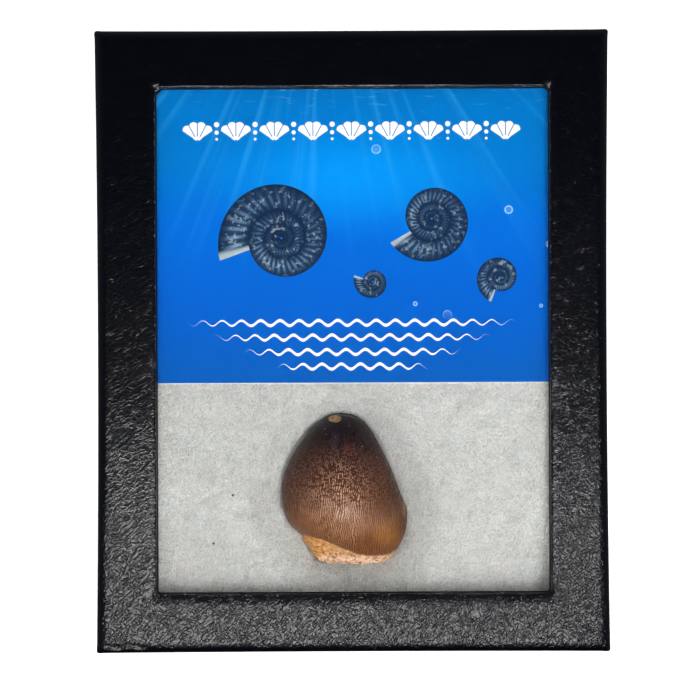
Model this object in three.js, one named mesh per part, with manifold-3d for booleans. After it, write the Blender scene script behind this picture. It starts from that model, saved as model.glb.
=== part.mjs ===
// A fossil mosasaur tooth in its glass-topped specimen case, lying on its back.
// Millimetres. X runs across the case, Y from its foot to its head and Z out through the glass.
// The origin is the middle of the tray's underside, which is what the case rests on.

import * as THREE from "three";
import { mergeVertices } from "three/addons/utils/BufferGeometryUtils.js";
import Module from "manifold-3d";

const wasm = await Module();
wasm.setup();

// Case
const CASE_WIDTH = 109;
const CASE_LENGTH = 132;
const CASE_DEPTH = 28.5;
const BOARD = 1.5; // every board wall, face and floor
const EDGE_RADIUS = 1.6; // the lid's rolled outer edge
const CORNER_RADIUS = 1.25;
const SIDE_BOW = 0.5; // how far the long walls pull in at mid-length
const END_BOW = 0.15;
const SKIRT_HEM = 1.25; // height of the skirt's lower edge above the surface

// Window in the lid's face
const WINDOW_WIDTH = 83.5;
const WINDOW_LENGTH = 107;
const WINDOW_SHIFT = new THREE.Vector2(0.15, -0.25);
const WINDOW_CORNER_CUT = 1.1; // the wrap is slit and turned in across each corner
const WINDOW_EDGE_RADIUS = 0.6;

// What lies under the window
const GLASS_THICKNESS = 2;
const CARD_WIDTH = 100;
const CARD_LENGTH = 70.5;
const CARD_THICKNESS = 0.375;
const CARD_FOOT = -9; // Y of the card's lower edge

// Fits
const LID_TO_TRAY = 0.75; // at the corners; the bow narrows it to a sliding fit at mid-length
const GLASS_TO_LID = 0.75;
const BATTING_TO_TRAY = 0.25;
const CLEARANCE = 0.3; // round a pin and round the tooth

// Closure pins, one through the middle of each long wall
const PIN_HEIGHT = 12.5;
const PIN_LENGTH = 13;
const PIN_RADIUS = 0.35;
const PIN_POINT = 1.5;
const PIN_HEAD_RADIUS = 1;
const PIN_HEAD_THICKNESS = 0.3;
const PIN_HEAD_GAP = 0.1;

// Mesh steps
const CORNER_STEPS = 3;
const SIDE_STEPS = 8;
const ARC_STEPS = 4;
const ROUND_STEPS = 16;
const RING_STEPS = 40;
const BREAK_ROWS = 4;
const ROOT_ROWS = 4;
const CROWN_ROWS = 26;

// Levels
const GLASS_TOP = CASE_DEPTH - BOARD;
const GLASS_UNDERSIDE = GLASS_TOP - GLASS_THICKNESS;
const CARD_UNDERSIDE = GLASS_UNDERSIDE - CARD_THICKNESS;

// Tooth: the middle of its crown, at the level where its outline is widest
const TOOTH_AT = new THREE.Vector3(-1.75, -32.2, 14.5);

// Stations up the tooth, in its own frame: the left and right ends of a ring, how far it reaches
// towards the glass and towards the tray, how far its front hangs down, and its lift off the midplane.
const ROOT_STATIONS = [
  { left: [-6.0, -16.2], right: [8.25, -16.5], front: 5.2, back: 4.6, sag: 0, lift: 0 },
  { left: [-6.75, -14.75], right: [9.4, -15.3], front: 6.0, back: 5.2, sag: 0.3, lift: 0 },
  { left: [-7.75, -12.5], right: [10.55, -13.5], front: 6.5, back: 5.6, sag: 1.2, lift: 0 },
  { left: [-8.85, -10.7], right: [11.25, -12.0], front: 6.8, back: 5.9, sag: 2.7, lift: 0 },
];
const CROWN_STATIONS = [
  { left: [-9.55, -10.1], right: [11.95, -11.3], front: 7.5, back: 6.5, sag: 2.8, lift: 0 },
  { left: [-11.7, -8.0], right: [13.25, -9.1], front: 8.9, back: 7.6, sag: 2.4, lift: 0 },
  { left: [-12.75, -5.95], right: [13.65, -6.7], front: 9.6, back: 8.2, sag: 1.9, lift: 0 },
  { left: [-13.35, -3.6], right: [13.2, -4.2], front: 10.0, back: 8.6, sag: 1.4, lift: 0 },
  { left: [-13.65, -1.05], right: [12.45, -2.4], front: 10.2, back: 8.8, sag: 1.0, lift: 0 },
  { left: [-13.5, 1.55], right: [11.65, -0.2], front: 10.2, back: 8.8, sag: 0.6, lift: 0 },
  { left: [-12.85, 4.15], right: [10.7, 2.4], front: 9.9, back: 8.6, sag: 0.3, lift: 0 },
  { left: [-11.95, 6.35], right: [9.65, 5.0], front: 9.4, back: 8.1, sag: 0.1, lift: 0 },
  { left: [-10.4, 9.1], right: [8.45, 7.6], front: 8.7, back: 7.4, sag: 0, lift: 0.1 },
  { left: [-8.85, 11.4], right: [7.05, 10.2], front: 7.8, back: 6.5, sag: 0, lift: 0.3 },
  { left: [-7.05, 13.5], right: [5.75, 12.6], front: 6.5, back: 5.2, sag: 0, lift: 0.5 },
  { left: [-4.95, 15.15], right: [4.1, 14.65], front: 4.8, back: 3.7, sag: 0, lift: 0.8 },
  { left: [-3.3, 16.2], right: [2.05, 16.0], front: 2.8, back: 2.0, sag: 0, lift: 1.1 },
  { left: [-1.35, 16.6], right: [-1.35, 16.6], front: 0, back: 0, sag: 0, lift: 1.3 },
];
const WEAR_FACET = {
  through: new THREE.Vector3(-2.1, 15.4, 4.75),
  facing: new THREE.Vector3(-0.12, 0.81, 0.57).normalize(),
};
const FRACTURE_RELIEF = 0.35; // roughness of the broken root
const PULP_HOLLOW = 1.2; // how deep the broken face dips in its middle
const POCKET_SCALE = 1.04; // the hollow in the batting against the tooth: at least CLEARANCE all round
const POCKET_FLARE = 6; // how far out the batting has risen to its full height
const POCKET_FLARE_LOOPS = 5;

// Materials

function coverPaper() {
  return new THREE.MeshStandardMaterial({ color: 0x141417, roughness: 0.5, metalness: 0 });
}

function clearGlass() {
  return new THREE.MeshStandardMaterial({
    color: 0xf2f8f6, roughness: 0.02, metalness: 0, transparent: true, opacity: 0.2,
  });
}

function fibre() {
  return new THREE.MeshStandardMaterial({ color: 0xdcdcd6, roughness: 0.95, metalness: 0 });
}

function printedCard() {
  return new THREE.MeshStandardMaterial({ color: 0x0078e0, roughness: 0.45, metalness: 0 });
}

function fossilEnamel() {
  return new THREE.MeshStandardMaterial({ color: 0x6c4d3b, roughness: 0.35, metalness: 0 });
}

function pinSteel() {
  return new THREE.MeshStandardMaterial({ color: 0xc4c6c8, roughness: 0.3, metalness: 1 });
}

// Solids

// One closed loop of a rounded rectangle, anticlockwise from above. Every loop has the same number of
// points, so any two can be joined. bow pulls the sides in at mid-length; cut makes the corners straight.
function rectangleLoop({ halfX, halfY, radius, z, bow = [0, 0], shift = [0, 0], cut = false }) {
  const corners = [];
  for (let k = 0; k < 4; k++) {
    const start = (k * Math.PI) / 2;
    const centreX = Math.sign(Math.cos(start + Math.PI / 4)) * (halfX - radius);
    const centreY = Math.sign(Math.sin(start + Math.PI / 4)) * (halfY - radius);
    const at = (angle) => new THREE.Vector2(
      centreX + radius * Math.cos(angle),
      centreY + radius * Math.sin(angle),
    );
    const corner = [];
    for (let i = 0; i <= CORNER_STEPS; i++) {
      const along = i / CORNER_STEPS;
      const end = start + Math.PI / 2;
      corner.push(cut ? at(start).lerp(at(end), along) : at(start + (along * Math.PI) / 2));
    }
    corners.push(corner);
  }
  const outline = corners.flatMap((corner, k) => {
    const last = corner[CORNER_STEPS];
    const next = corners[(k + 1) % 4][0];
    const side = [];
    for (let i = 1; i < SIDE_STEPS; i++) {
      side.push(last.clone().lerp(next, i / SIDE_STEPS));
    }
    return [...corner, ...side];
  });
  return outline.map(({ x, y }) => new THREE.Vector3(
    x - Math.sign(x) * bow[0] * Math.max(0, 1 - (y / halfY) ** 2) * (Math.abs(x) / halfX) + shift[0],
    y - Math.sign(y) * bow[1] * Math.max(0, 1 - (x / halfX) ** 2) * (Math.abs(y) / halfY) + shift[1],
    z,
  ));
}

// A closed solid through loops of equal length. A tube of loops joins its last loop to its first;
// a stack of loops is closed by a fan at each end.
function loft(loops, { tube = false } = {}) {
  const count = loops[0].length;
  const points = loops.flat();
  const index = [];
  const joins = tube ? loops.length : loops.length - 1;
  for (let j = 0; j < joins; j++) {
    for (let i = 0; i < count; i++) {
      const a = j * count + i;
      const b = j * count + ((i + 1) % count);
      const rise = ((j + 1) % loops.length) * count - j * count;
      index.push(a, b, b + rise, a, b + rise, a + rise);
    }
  }
  if (!tube) {
    const ends = [loops[0], loops[loops.length - 1]];
    ends.forEach((loop, end) => {
      const centre = loop.reduce((sum, p) => sum.add(p), new THREE.Vector3()).divideScalar(count);
      const first = end * (loops.length - 1) * count;
      const tip = points.push(centre) - 1;
      for (let i = 0; i < count; i++) {
        const a = first + i;
        const b = first + ((i + 1) % count);
        index.push(...(end === 0 ? [tip, b, a] : [tip, a, b]));
      }
    });
  }
  const geometry = new THREE.BufferGeometry().setFromPoints(points);
  geometry.setIndex(index);
  return geometry;
}

// manifold-3d's solid of a closed geometry
function toSolid(geometry) {
  const bare = geometry.clone();
  bare.deleteAttribute("normal");
  bare.deleteAttribute("uv");
  const merged = mergeVertices(bare, 1e-5);
  return new wasm.Manifold(new wasm.Mesh({
    numProp: 3,
    vertProperties: new Float32Array(merged.attributes.position.array),
    triVerts: new Uint32Array(merged.index.array),
  }));
}

function toGeometry(solid) {
  const mesh = solid.getMesh();
  const geometry = new THREE.BufferGeometry();
  geometry.setAttribute("position", new THREE.BufferAttribute(mesh.vertProperties, 3));
  geometry.setIndex(new THREE.BufferAttribute(mesh.triVerts, 1));
  return geometry;
}

function cutAway(geometry, cutters) {
  return toGeometry(cutters.reduce((solid, cutter) => solid.subtract(toSolid(cutter)), toSolid(geometry)));
}

function named(name, geometry, material) {
  const mesh = new THREE.Mesh(geometry, material);
  mesh.name = name;
  return mesh;
}

// Closure pins

// X of a pin head's inner face, just clear of the bowed wall
const PIN_SEAT = CASE_WIDTH / 2 - SIDE_BOW + PIN_HEAD_GAP;

// A hole along X for one pin, from outside the lid's wall to just past the pin's point
function pinHole(side) {
  const length = PIN_LENGTH + PIN_HEAD_THICKNESS + 2 * CLEARANCE;
  const hole = new THREE.CylinderGeometry(
    PIN_RADIUS + CLEARANCE, PIN_RADIUS + CLEARANCE, length, ROUND_STEPS,
  );
  hole.rotateZ(Math.PI / 2);
  hole.translate(side * (PIN_SEAT + PIN_HEAD_THICKNESS + CLEARANCE - length / 2), 0, PIN_HEIGHT);
  return hole;
}

function pin(name, side) {
  const profile = [
    [0, 0],
    [PIN_RADIUS, PIN_POINT],
    [PIN_RADIUS, PIN_LENGTH],
    [PIN_HEAD_RADIUS, PIN_LENGTH],
    [PIN_HEAD_RADIUS, PIN_LENGTH + PIN_HEAD_THICKNESS],
    [0, PIN_LENGTH + PIN_HEAD_THICKNESS],
  ];
  const geometry = new THREE.LatheGeometry(
    profile.map(([radius, along]) => new THREE.Vector2(radius, along)), ROUND_STEPS,
  );
  const mesh = named(name, geometry, pinSteel());
  mesh.rotation.z = -side * (Math.PI / 2);
  mesh.position.set(side * (PIN_SEAT - PIN_LENGTH), 0, PIN_HEIGHT);
  return mesh;
}

// Case

// The lid: a board face with the window in it and four walls, all in one glued paper wrap
function lidFrame() {
  const halfX = CASE_WIDTH / 2;
  const halfY = CASE_LENGTH / 2;
  const bow = [SIDE_BOW, END_BOW];
  const outer = (inset, z) => rectangleLoop({
    halfX: halfX - inset, halfY: halfY - inset, radius: CORNER_RADIUS, z, bow,
  });
  const window = (outset, z) => rectangleLoop({
    halfX: WINDOW_WIDTH / 2 + outset,
    halfY: WINDOW_LENGTH / 2 + outset,
    radius: WINDOW_CORNER_CUT,
    z,
    shift: WINDOW_SHIFT.toArray(),
    cut: true,
  });
  const arc = Array.from({ length: ARC_STEPS + 1 }, (_, i) => (i / ARC_STEPS) * (Math.PI / 2));
  const outerRoll = arc.map((angle) => outer(
    EDGE_RADIUS * (1 - Math.cos(angle)),
    CASE_DEPTH - EDGE_RADIUS * (1 - Math.sin(angle)),
  ));
  const windowRoll = arc.map((angle) => window(
    WINDOW_EDGE_RADIUS * (1 - Math.sin(angle)),
    CASE_DEPTH - WINDOW_EDGE_RADIUS * (1 - Math.cos(angle)),
  ));
  const hemFold = 0.25;
  const body = loft([
    outer(hemFold, SKIRT_HEM),
    outer(0, SKIRT_HEM + hemFold),
    ...outerRoll,
    ...windowRoll,
    window(0, GLASS_TOP),
    outer(BOARD, GLASS_TOP),
    outer(BOARD, SKIRT_HEM),
  ], { tube: true });
  return named("lid_frame", cutAway(body, [pinHole(-1), pinHole(1)]), coverPaper());
}

const TRAY_HALF_X = CASE_WIDTH / 2 - BOARD - LID_TO_TRAY;
const TRAY_HALF_Y = CASE_LENGTH / 2 - BOARD - LID_TO_TRAY + END_BOW;

// The tray: a shallow open box that carries the batting and holds the glass up against the lid's face
function tray() {
  const wall = (inset, z) => rectangleLoop({
    halfX: TRAY_HALF_X - inset, halfY: TRAY_HALF_Y - inset, radius: CORNER_RADIUS, z,
  });
  const body = loft([
    wall(0, 0),
    wall(0, GLASS_UNDERSIDE),
    wall(BOARD, GLASS_UNDERSIDE),
    wall(BOARD, BOARD),
  ]);
  return named("tray", cutAway(body, [pinHole(-1), pinHole(1)]), coverPaper());
}

function glassPane() {
  const inset = BOARD + GLASS_TO_LID;
  const geometry = new THREE.BoxGeometry(
    CASE_WIDTH - 2 * inset, CASE_LENGTH - 2 * inset, GLASS_THICKNESS,
  );
  const mesh = named("glass_pane", geometry, clearGlass());
  mesh.position.z = (GLASS_TOP + GLASS_UNDERSIDE) / 2;
  return mesh;
}

function infoCard() {
  const geometry = new THREE.BoxGeometry(CARD_WIDTH, CARD_LENGTH, CARD_THICKNESS);
  const mesh = named("info_card", geometry, printedCard());
  mesh.position.set(0, CARD_FOOT + CARD_LENGTH / 2, CARD_UNDERSIDE + CARD_THICKNESS / 2);
  return mesh;
}

// Tooth

// Smooth curves through the stations, all read at the same share of the way along
function stationCurves(stations) {
  const curve = (pick) => new THREE.CatmullRomCurve3(stations.map(pick), false, "catmullrom", 0.5);
  return {
    left: curve(({ left, lift }) => new THREE.Vector3(...left, lift)),
    right: curve(({ right, lift }) => new THREE.Vector3(...right, lift)),
    reach: curve(({ front, back, sag }) => new THREE.Vector3(front, back, sag)),
  };
}

// The enamel's front hangs lower from the middle to the right than on the left
function sagShare(across, forward) {
  return Math.max(0, forward) ** 0.6 * THREE.MathUtils.smoothstep(across, -0.85, 0.15);
}

// One ring of the tooth, anticlockwise seen from its tip
function toothRing({ left, right, reach }, along) {
  const from = left.getPoint(along);
  const to = right.getPoint(along);
  const { x: front, y: back, z: sag } = reach.getPoint(along);
  const ring = [];
  for (let i = 0; i < RING_STEPS; i++) {
    const angle = (-2 * Math.PI * i) / RING_STEPS;
    const across = Math.cos(angle);
    const forward = Math.sin(angle);
    const point = from.clone().lerp(to, (1 + across) / 2);
    point.z += forward * (forward > 0 ? front : back);
    point.y -= Math.max(0, sag) * sagShare(across, forward);
    ring.push(point);
  }
  return ring;
}

// Broken dentine: ridges and steps of mixed width that fade out under the enamel
function fracture(point, share) {
  const { x, y, z } = point;
  const relief = Math.sin(1.9 * x + 0.7 * z) + Math.sin(1.1 * z - 2.3 * y + 1.4) + Math.sin(3.1 * x - 1.7 * z);
  point.addScaledVector(new THREE.Vector3(x, 0, z).normalize(), (FRACTURE_RELIEF * share * relief) / 3);
  return point;
}

// Points past the wear facet's plane lie on it
function wear(point) {
  const past = point.clone().sub(WEAR_FACET.through).dot(WEAR_FACET.facing);
  return point.addScaledVector(WEAR_FACET.facing, -Math.max(0, past));
}

// A row across the broken face under the root, at a share of the way out from its middle to its rim.
// The middle is hollow, where the pulp was.
function breakRow(root, share) {
  const rim = toothRing(root, 0);
  const middle = rim.reduce((sum, point) => sum.add(point), new THREE.Vector3()).divideScalar(rim.length);
  return rim.map((point) => {
    const inside = middle.clone().lerp(point, share);
    const ridge = Math.sin(1.3 * inside.x + 0.9 * inside.z) * Math.sin(1.7 * inside.z - 0.6 * inside.x);
    inside.y += PULP_HOLLOW * (1 - share ** 2) + FRACTURE_RELIEF * ridge;
    return inside;
  });
}

function toothGeometry() {
  const root = stationCurves(ROOT_STATIONS);
  const crown = stationCurves(CROWN_STATIONS);
  const rows = [];
  for (let j = 1; j < BREAK_ROWS; j++) {
    rows.push(breakRow(root, j / BREAK_ROWS));
  }
  for (let j = 0; j <= ROOT_ROWS; j++) {
    const along = j / ROOT_ROWS;
    rows.push(toothRing(root, along).map((point) => fracture(point, 1 - along)));
  }
  for (let j = 0; j < CROWN_ROWS; j++) {
    const along = Math.sin((j / CROWN_ROWS) * (Math.PI / 2)); // closer together towards the blunt tip
    rows.push(toothRing(crown, along).map(wear));
  }
  return loft(rows);
}

function tooth() {
  const mesh = named("tooth", toothGeometry(), fossilEnamel());
  mesh.position.copy(TOOTH_AT);
  return mesh;
}

// Batting

// The tooth's outline seen through the glass, anticlockwise, in the case's frame
function toothOutline() {
  const stations = [...ROOT_STATIONS, ...CROWN_STATIONS];
  const rightEdge = stations.map(({ right }) => right);
  const leftEdge = stations.slice(0, -1).map(({ left }) => left).reverse();
  return [...rightEdge, ...leftEdge].map(([x, y]) => new THREE.Vector2(x, y));
}

// The opening above the tooth's midplane, which widens to full height in a soft curve
function pocketFlare() {
  const outline = toothOutline();
  const rise = CARD_UNDERSIDE - TOOTH_AT.z;
  const loops = [];
  for (let j = 0; j <= POCKET_FLARE_LOOPS; j++) {
    const turn = (j / POCKET_FLARE_LOOPS) * (Math.PI / 2);
    const outset = 2 * CLEARANCE + POCKET_FLARE * (1 - Math.cos(turn));
    const z = TOOTH_AT.z + rise * Math.sin(turn);
    loops.push(outline.map((point) => {
      const out = point.clone().setLength(point.length() + outset);
      return new THREE.Vector3(out.x + TOOTH_AT.x, out.y + TOOTH_AT.y, z);
    }));
  }
  const above = loops[POCKET_FLARE_LOOPS].map((point) => point.clone().setZ(GLASS_TOP));
  return loft([...loops, above]);
}

function pocketBed() {
  return toothGeometry()
    .scale(POCKET_SCALE, POCKET_SCALE, POCKET_SCALE)
    .translate(...TOOTH_AT.toArray());
}

function batting() {
  const inset = BOARD + BATTING_TO_TRAY;
  const level = (z) => rectangleLoop({
    halfX: TRAY_HALF_X - inset, halfY: TRAY_HALF_Y - inset, radius: CORNER_RADIUS, z,
  });
  const pad = loft([level(BOARD), level(CARD_UNDERSIDE)]);
  const geometry = cutAway(pad, [pocketFlare(), pocketBed(), pinHole(-1), pinHole(1)]);
  return named("batting", geometry, fibre());
}

const specimenCase = new THREE.Group();
specimenCase.add(
  tray(),
  batting(),
  infoCard(),
  tooth(),
  glassPane(),
  lidFrame(),
  pin("pin_left", -1),
  pin("pin_right", 1),
);

export default specimenCase;
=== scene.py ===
"""A fossil mosasaur tooth on fibre under glass, in a black specimen case that lies on its back.

Sizes are in millimetres in the case's frame: X across, Y from foot to head, Z out through the glass.
They become metres where a mesh is made.
"""

import itertools
import logging
import math
from dataclasses import dataclass
from enum import Enum
from functools import reduce
from typing import Any, Mapping, Sequence

import bpy
import numpy as np
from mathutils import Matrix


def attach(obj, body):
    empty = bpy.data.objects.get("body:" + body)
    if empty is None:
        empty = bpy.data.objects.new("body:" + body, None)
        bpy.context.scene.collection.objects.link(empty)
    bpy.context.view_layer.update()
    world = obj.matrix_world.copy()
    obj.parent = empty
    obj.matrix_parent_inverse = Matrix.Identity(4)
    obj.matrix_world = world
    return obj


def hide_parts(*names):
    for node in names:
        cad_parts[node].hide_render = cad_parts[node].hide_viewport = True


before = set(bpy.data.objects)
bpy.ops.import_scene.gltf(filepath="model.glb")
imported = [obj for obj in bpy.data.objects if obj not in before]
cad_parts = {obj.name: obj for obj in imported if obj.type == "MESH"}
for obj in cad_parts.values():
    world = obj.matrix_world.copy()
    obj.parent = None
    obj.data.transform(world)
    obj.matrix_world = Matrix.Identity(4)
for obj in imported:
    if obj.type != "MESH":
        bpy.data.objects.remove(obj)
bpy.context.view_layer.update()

MM = 0.001
TURN = 2 * math.pi
QUARTER = TURN / 4
CASE_DEPTH = 28.5
CARD_HALF_WIDTH = 50.0
CARD_FOOT = -9.0
CARD_HEAD = 61.5
LOG = logging.getLogger("specimen_case")
Colour = tuple[float, float, float, float]


class Slot(Enum):
    """Names of material slots. Nothing in this script uses them."""

    COVER_PAPER = "cover_paper"
    BATTING = "batting"
    CARD = "card"
    FOSSIL = "fossil"
    LEATHER_GRAIN = "leather_grain"
    PIN_STEEL = "pin_steel"


# Numbers and shapes


def srgb(red: float, green: float, blue: float) -> Colour:
    """Turns a display colour into the linear colour that a shader takes.

    Args:
        red: Red, 0 to 255.
        green: Green, 0 to 255.
        blue: Blue, 0 to 255.

    Returns:
        Linear red, green and blue, and an alpha of one.
    """
    shown = np.array([red, green, blue]) / 255
    linear = np.where(shown <= 0.04045, shown / 12.92, ((shown + 0.055) / 1.055) ** 2.4)
    return (*linear.tolist(), 1.0)


def ease(values: np.ndarray, low: float, high: float) -> np.ndarray:
    """Rises smoothly from 0 at low to 1 at high: t squared times (3 - 2t).

    Args:
        values: Any array.
        low: Where the rise starts; it may be above high, for a fall.
        high: Where the rise ends.

    Returns:
        An array of shares, of the same shape.
    """
    share = np.clip((values - low) / (high - low), 0, 1)
    return share * share * (3 - 2 * share)


def bump_at(values: np.ndarray, middle: float, width: float) -> np.ndarray:
    """A bell: e to the power of minus the square of the distance from the middle over the width."""
    return np.exp(-(((values - middle) / width) ** 2))


class GradientNoise:
    """Seeded smooth noise over three dimensions.

    Each corner of a unit lattice has a random slope. A point's value is the eight slopes round it,
    each times the way from its corner, blended by the fade 6t^5 - 15t^4 + 10t^3.
    """

    SIZE = 256
    OCTAVE_SHIFT = 17.3

    def __init__(self, seed: int) -> None:
        """Draws the slopes.

        Args:
            seed: Fixes the noise.
        """
        rng = np.random.default_rng(seed)
        slopes = rng.normal(size=(self.SIZE, 3))
        self.order = rng.permutation(self.SIZE)
        self.slopes = slopes / np.linalg.norm(slopes, axis=1, keepdims=True)

    def _slope(self, corner: np.ndarray) -> np.ndarray:
        """The slope at each lattice corner, looked up axis by axis through the shuffled order."""
        key = self.order[corner[..., 0] % self.SIZE]
        key = self.order[(key + corner[..., 1]) % self.SIZE]
        return self.slopes[self.order[(key + corner[..., 2]) % self.SIZE]]

    def at(self, points: np.ndarray) -> np.ndarray:
        """Reads the noise.

        Args:
            points: Array whose last axis is x, y, z in lattice cells.

        Returns:
            Values between about -0.7 and 0.7, without the last axis.
        """
        corner = np.floor(points).astype(int)
        part = points - corner
        fade = part**3 * (part * (part * 6 - 15) + 10)
        total = np.zeros(points.shape[:-1])
        for step in itertools.product((0, 1), repeat=3):
            offset = np.array(step)
            slope = self._slope(corner + offset)
            weight = np.where(offset == 1, fade, 1 - fade).prod(axis=-1)
            total += weight * (slope * (part - offset)).sum(axis=-1)
        return total

    def fractal(self, points: np.ndarray, octaves: int) -> np.ndarray:
        """Adds octaves, each twice as fine and half as strong as the one before."""
        return sum(self.at(points * 2**k + self.OCTAVE_SHIFT * k) / 2**k for k in range(octaves))


def catmull_rom(knots: np.ndarray, along: np.ndarray) -> np.ndarray:
    """Reads a smooth curve through knots.

    Each span is the cubic with half the difference of the neighbouring knots as its end slopes. Past each
    end there is one more knot, in line with the last two.

    Args:
        knots: Array (n, k) of points.
        along: Array (m) of shares of the way along, with every span equally long.

    Returns:
        Array (m, k) of points.
    """
    spans = len(knots) - 1
    row = np.vstack([2 * knots[0] - knots[1], knots, 2 * knots[-1] - knots[-2]])
    position = np.clip(along, 0, 1) * spans
    first = np.minimum(position.astype(int), spans - 1)
    t = (position - first)[:, None]
    before, start, end, after = (row[first + k] for k in range(4))
    out = (end - before) / 2
    into = (after - start) / 2
    cubic = 2 * start - 2 * end + out + into
    square = 3 * end - 3 * start - 2 * out - into
    return ((cubic * t + square) * t + out) * t + start


def grid_faces(rows: int, columns: int, wrap_rows: bool = False, wrap_columns: bool = False) -> np.ndarray:
    """Four-sided faces over points numbered row by row.

    A face runs (row, column), (row, next column), (next row, next column), (next row, column).

    Args:
        rows: Number of rows of points.
        columns: Number of points in a row.
        wrap_rows: Joins the last row to the first.
        wrap_columns: Joins the last column to the first.

    Returns:
        Array (n, 4) of point numbers.
    """
    row = np.arange(rows - (not wrap_rows))[:, None]
    column = np.arange(columns - (not wrap_columns))[None, :]
    up = (row + 1) % rows * columns
    across = (column + 1) % columns
    here = row * columns
    corners = np.broadcast_arrays(here + column, here + across, up + across, up + column)
    return np.stack(corners, axis=-1).reshape(-1, 4)


def closed_stack(loops: np.ndarray, first: Sequence[float], last: Sequence[float]) -> "Surface":
    """A closed surface through a stack of loops, shut at each end by a fan to a point.

    Args:
        loops: Array (rows, columns, 3). Loops run anticlockwise seen from the last end.
        first: The point that shuts the first end.
        last: The point that shuts the last end.

    Returns:
        The surface, with its faces outward.
    """
    rows, columns = loops.shape[:2]
    points = np.vstack([loops.reshape(-1, 3), first, last])
    start = np.arange(columns)
    end = start + (rows - 1) * columns
    shut_first = np.stack([np.roll(start, -1), start, np.full(columns, rows * columns)], axis=1)
    shut_last = np.stack([end, np.roll(end, -1), np.full(columns, rows * columns + 1)], axis=1)
    return Surface(points, [grid_faces(rows, columns, wrap_columns=True), shut_first, shut_last])


def slab(top: np.ndarray, thickness: float) -> "Surface":
    """A closed sheet: a grid of points, the same grid lower down, and faces round the rim.

    Args:
        top: Array (rows, columns, 3), with rows towards +Y and columns towards +X.
        thickness: How far down the under side is.

    Returns:
        The surface, with its faces outward.
    """
    rows, columns = top.shape[:2]
    count = rows * columns
    number = np.arange(count).reshape(rows, columns)
    rim = np.concatenate([number[0, :-1], number[:-1, -1], number[-1, :0:-1], number[:0:-1, 0]])
    following = np.roll(rim, -1)
    upper = grid_faces(rows, columns)
    lower = upper[:, ::-1] + count
    side = np.stack([rim + count, following + count, following, rim], axis=1)
    under = top - np.array([0, 0, thickness])
    return Surface(np.vstack([top.reshape(-1, 3), under.reshape(-1, 3)]), [upper, lower, side])


def grid_normals(grid: np.ndarray) -> np.ndarray:
    """Outward unit normals of a grid whose columns wrap: along the columns crossed with along the rows."""
    along = np.roll(grid, -1, axis=1) - np.roll(grid, 1, axis=1)
    cross = np.cross(along, np.gradient(grid, axis=0))
    return cross / np.maximum(np.linalg.norm(cross, axis=-1, keepdims=True), 1e-9)


@dataclass
class Surface:
    """Points in millimetres and blocks of faces, each block an array (n, corners)."""

    points: np.ndarray
    faces: list[np.ndarray]

    def mesh(self, name: str, attributes: Mapping[str, np.ndarray], sharp: float | None) -> bpy.types.Mesh:
        """Puts the surface into a mesh, in metres.

        Args:
            name: The mesh's name.
            attributes: A number for each point, by name, for the materials.
            sharp: Edges that turn more than this many degrees stay sharp.

        Returns:
            The mesh, shaded smooth between its sharp edges.
        """
        corners = np.concatenate([block.ravel() for block in self.faces])
        sizes = np.concatenate([np.full(len(block), block.shape[1]) for block in self.faces])
        starts = np.concatenate([[0], np.cumsum(sizes)[:-1]])
        mesh = bpy.data.meshes.new(name)
        mesh.vertices.add(len(self.points))
        mesh.vertices.foreach_set("co", (self.points * MM).astype(np.float32).ravel())
        mesh.loops.add(len(corners))
        mesh.loops.foreach_set("vertex_index", corners.astype(np.int32))
        mesh.polygons.add(len(sizes))
        mesh.polygons.foreach_set("loop_start", starts.astype(np.int32))
        mesh.polygons.foreach_set("use_smooth", np.ones(len(sizes), dtype=bool))
        mesh.update(calc_edges=True)
        for key, values in attributes.items():
            layer = mesh.attributes.new(key, "FLOAT", "POINT")
            layer.data.foreach_set("value", values.astype(np.float32).ravel())
        if sharp is not None:
            mesh.set_sharp_from_angle(angle=math.radians(sharp))
        return mesh


def add_piece(
    name: str,
    surface: Surface,
    finish: bpy.types.Material,
    replaces: Sequence[str] = (),
    attributes: Mapping[str, np.ndarray] | None = None,
    sharp: float | None = None,
) -> bpy.types.Object:
    """Makes a piece of the case from a surface, and dresses it.

    Args:
        name: The piece's name.
        surface: Its shape.
        finish: Its material.
        replaces: The CAD nodes that it stands for.
        attributes: A number for each point, by name, for the finish.
        sharp: Edges that turn more than this many degrees stay sharp.

    Returns:
        The object, riding on the case.
    """
    mesh = surface.mesh(name, attributes or {}, sharp)
    mesh.materials.append(finish)
    piece = bpy.data.objects.new(name, mesh)
    bpy.context.scene.collection.objects.link(piece)
    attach(piece, "root")
    if replaces:
        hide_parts(*replaces)
    LOG.info("%s: %d faces", name, len(mesh.polygons))
    return piece


# Shader wiring


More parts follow.
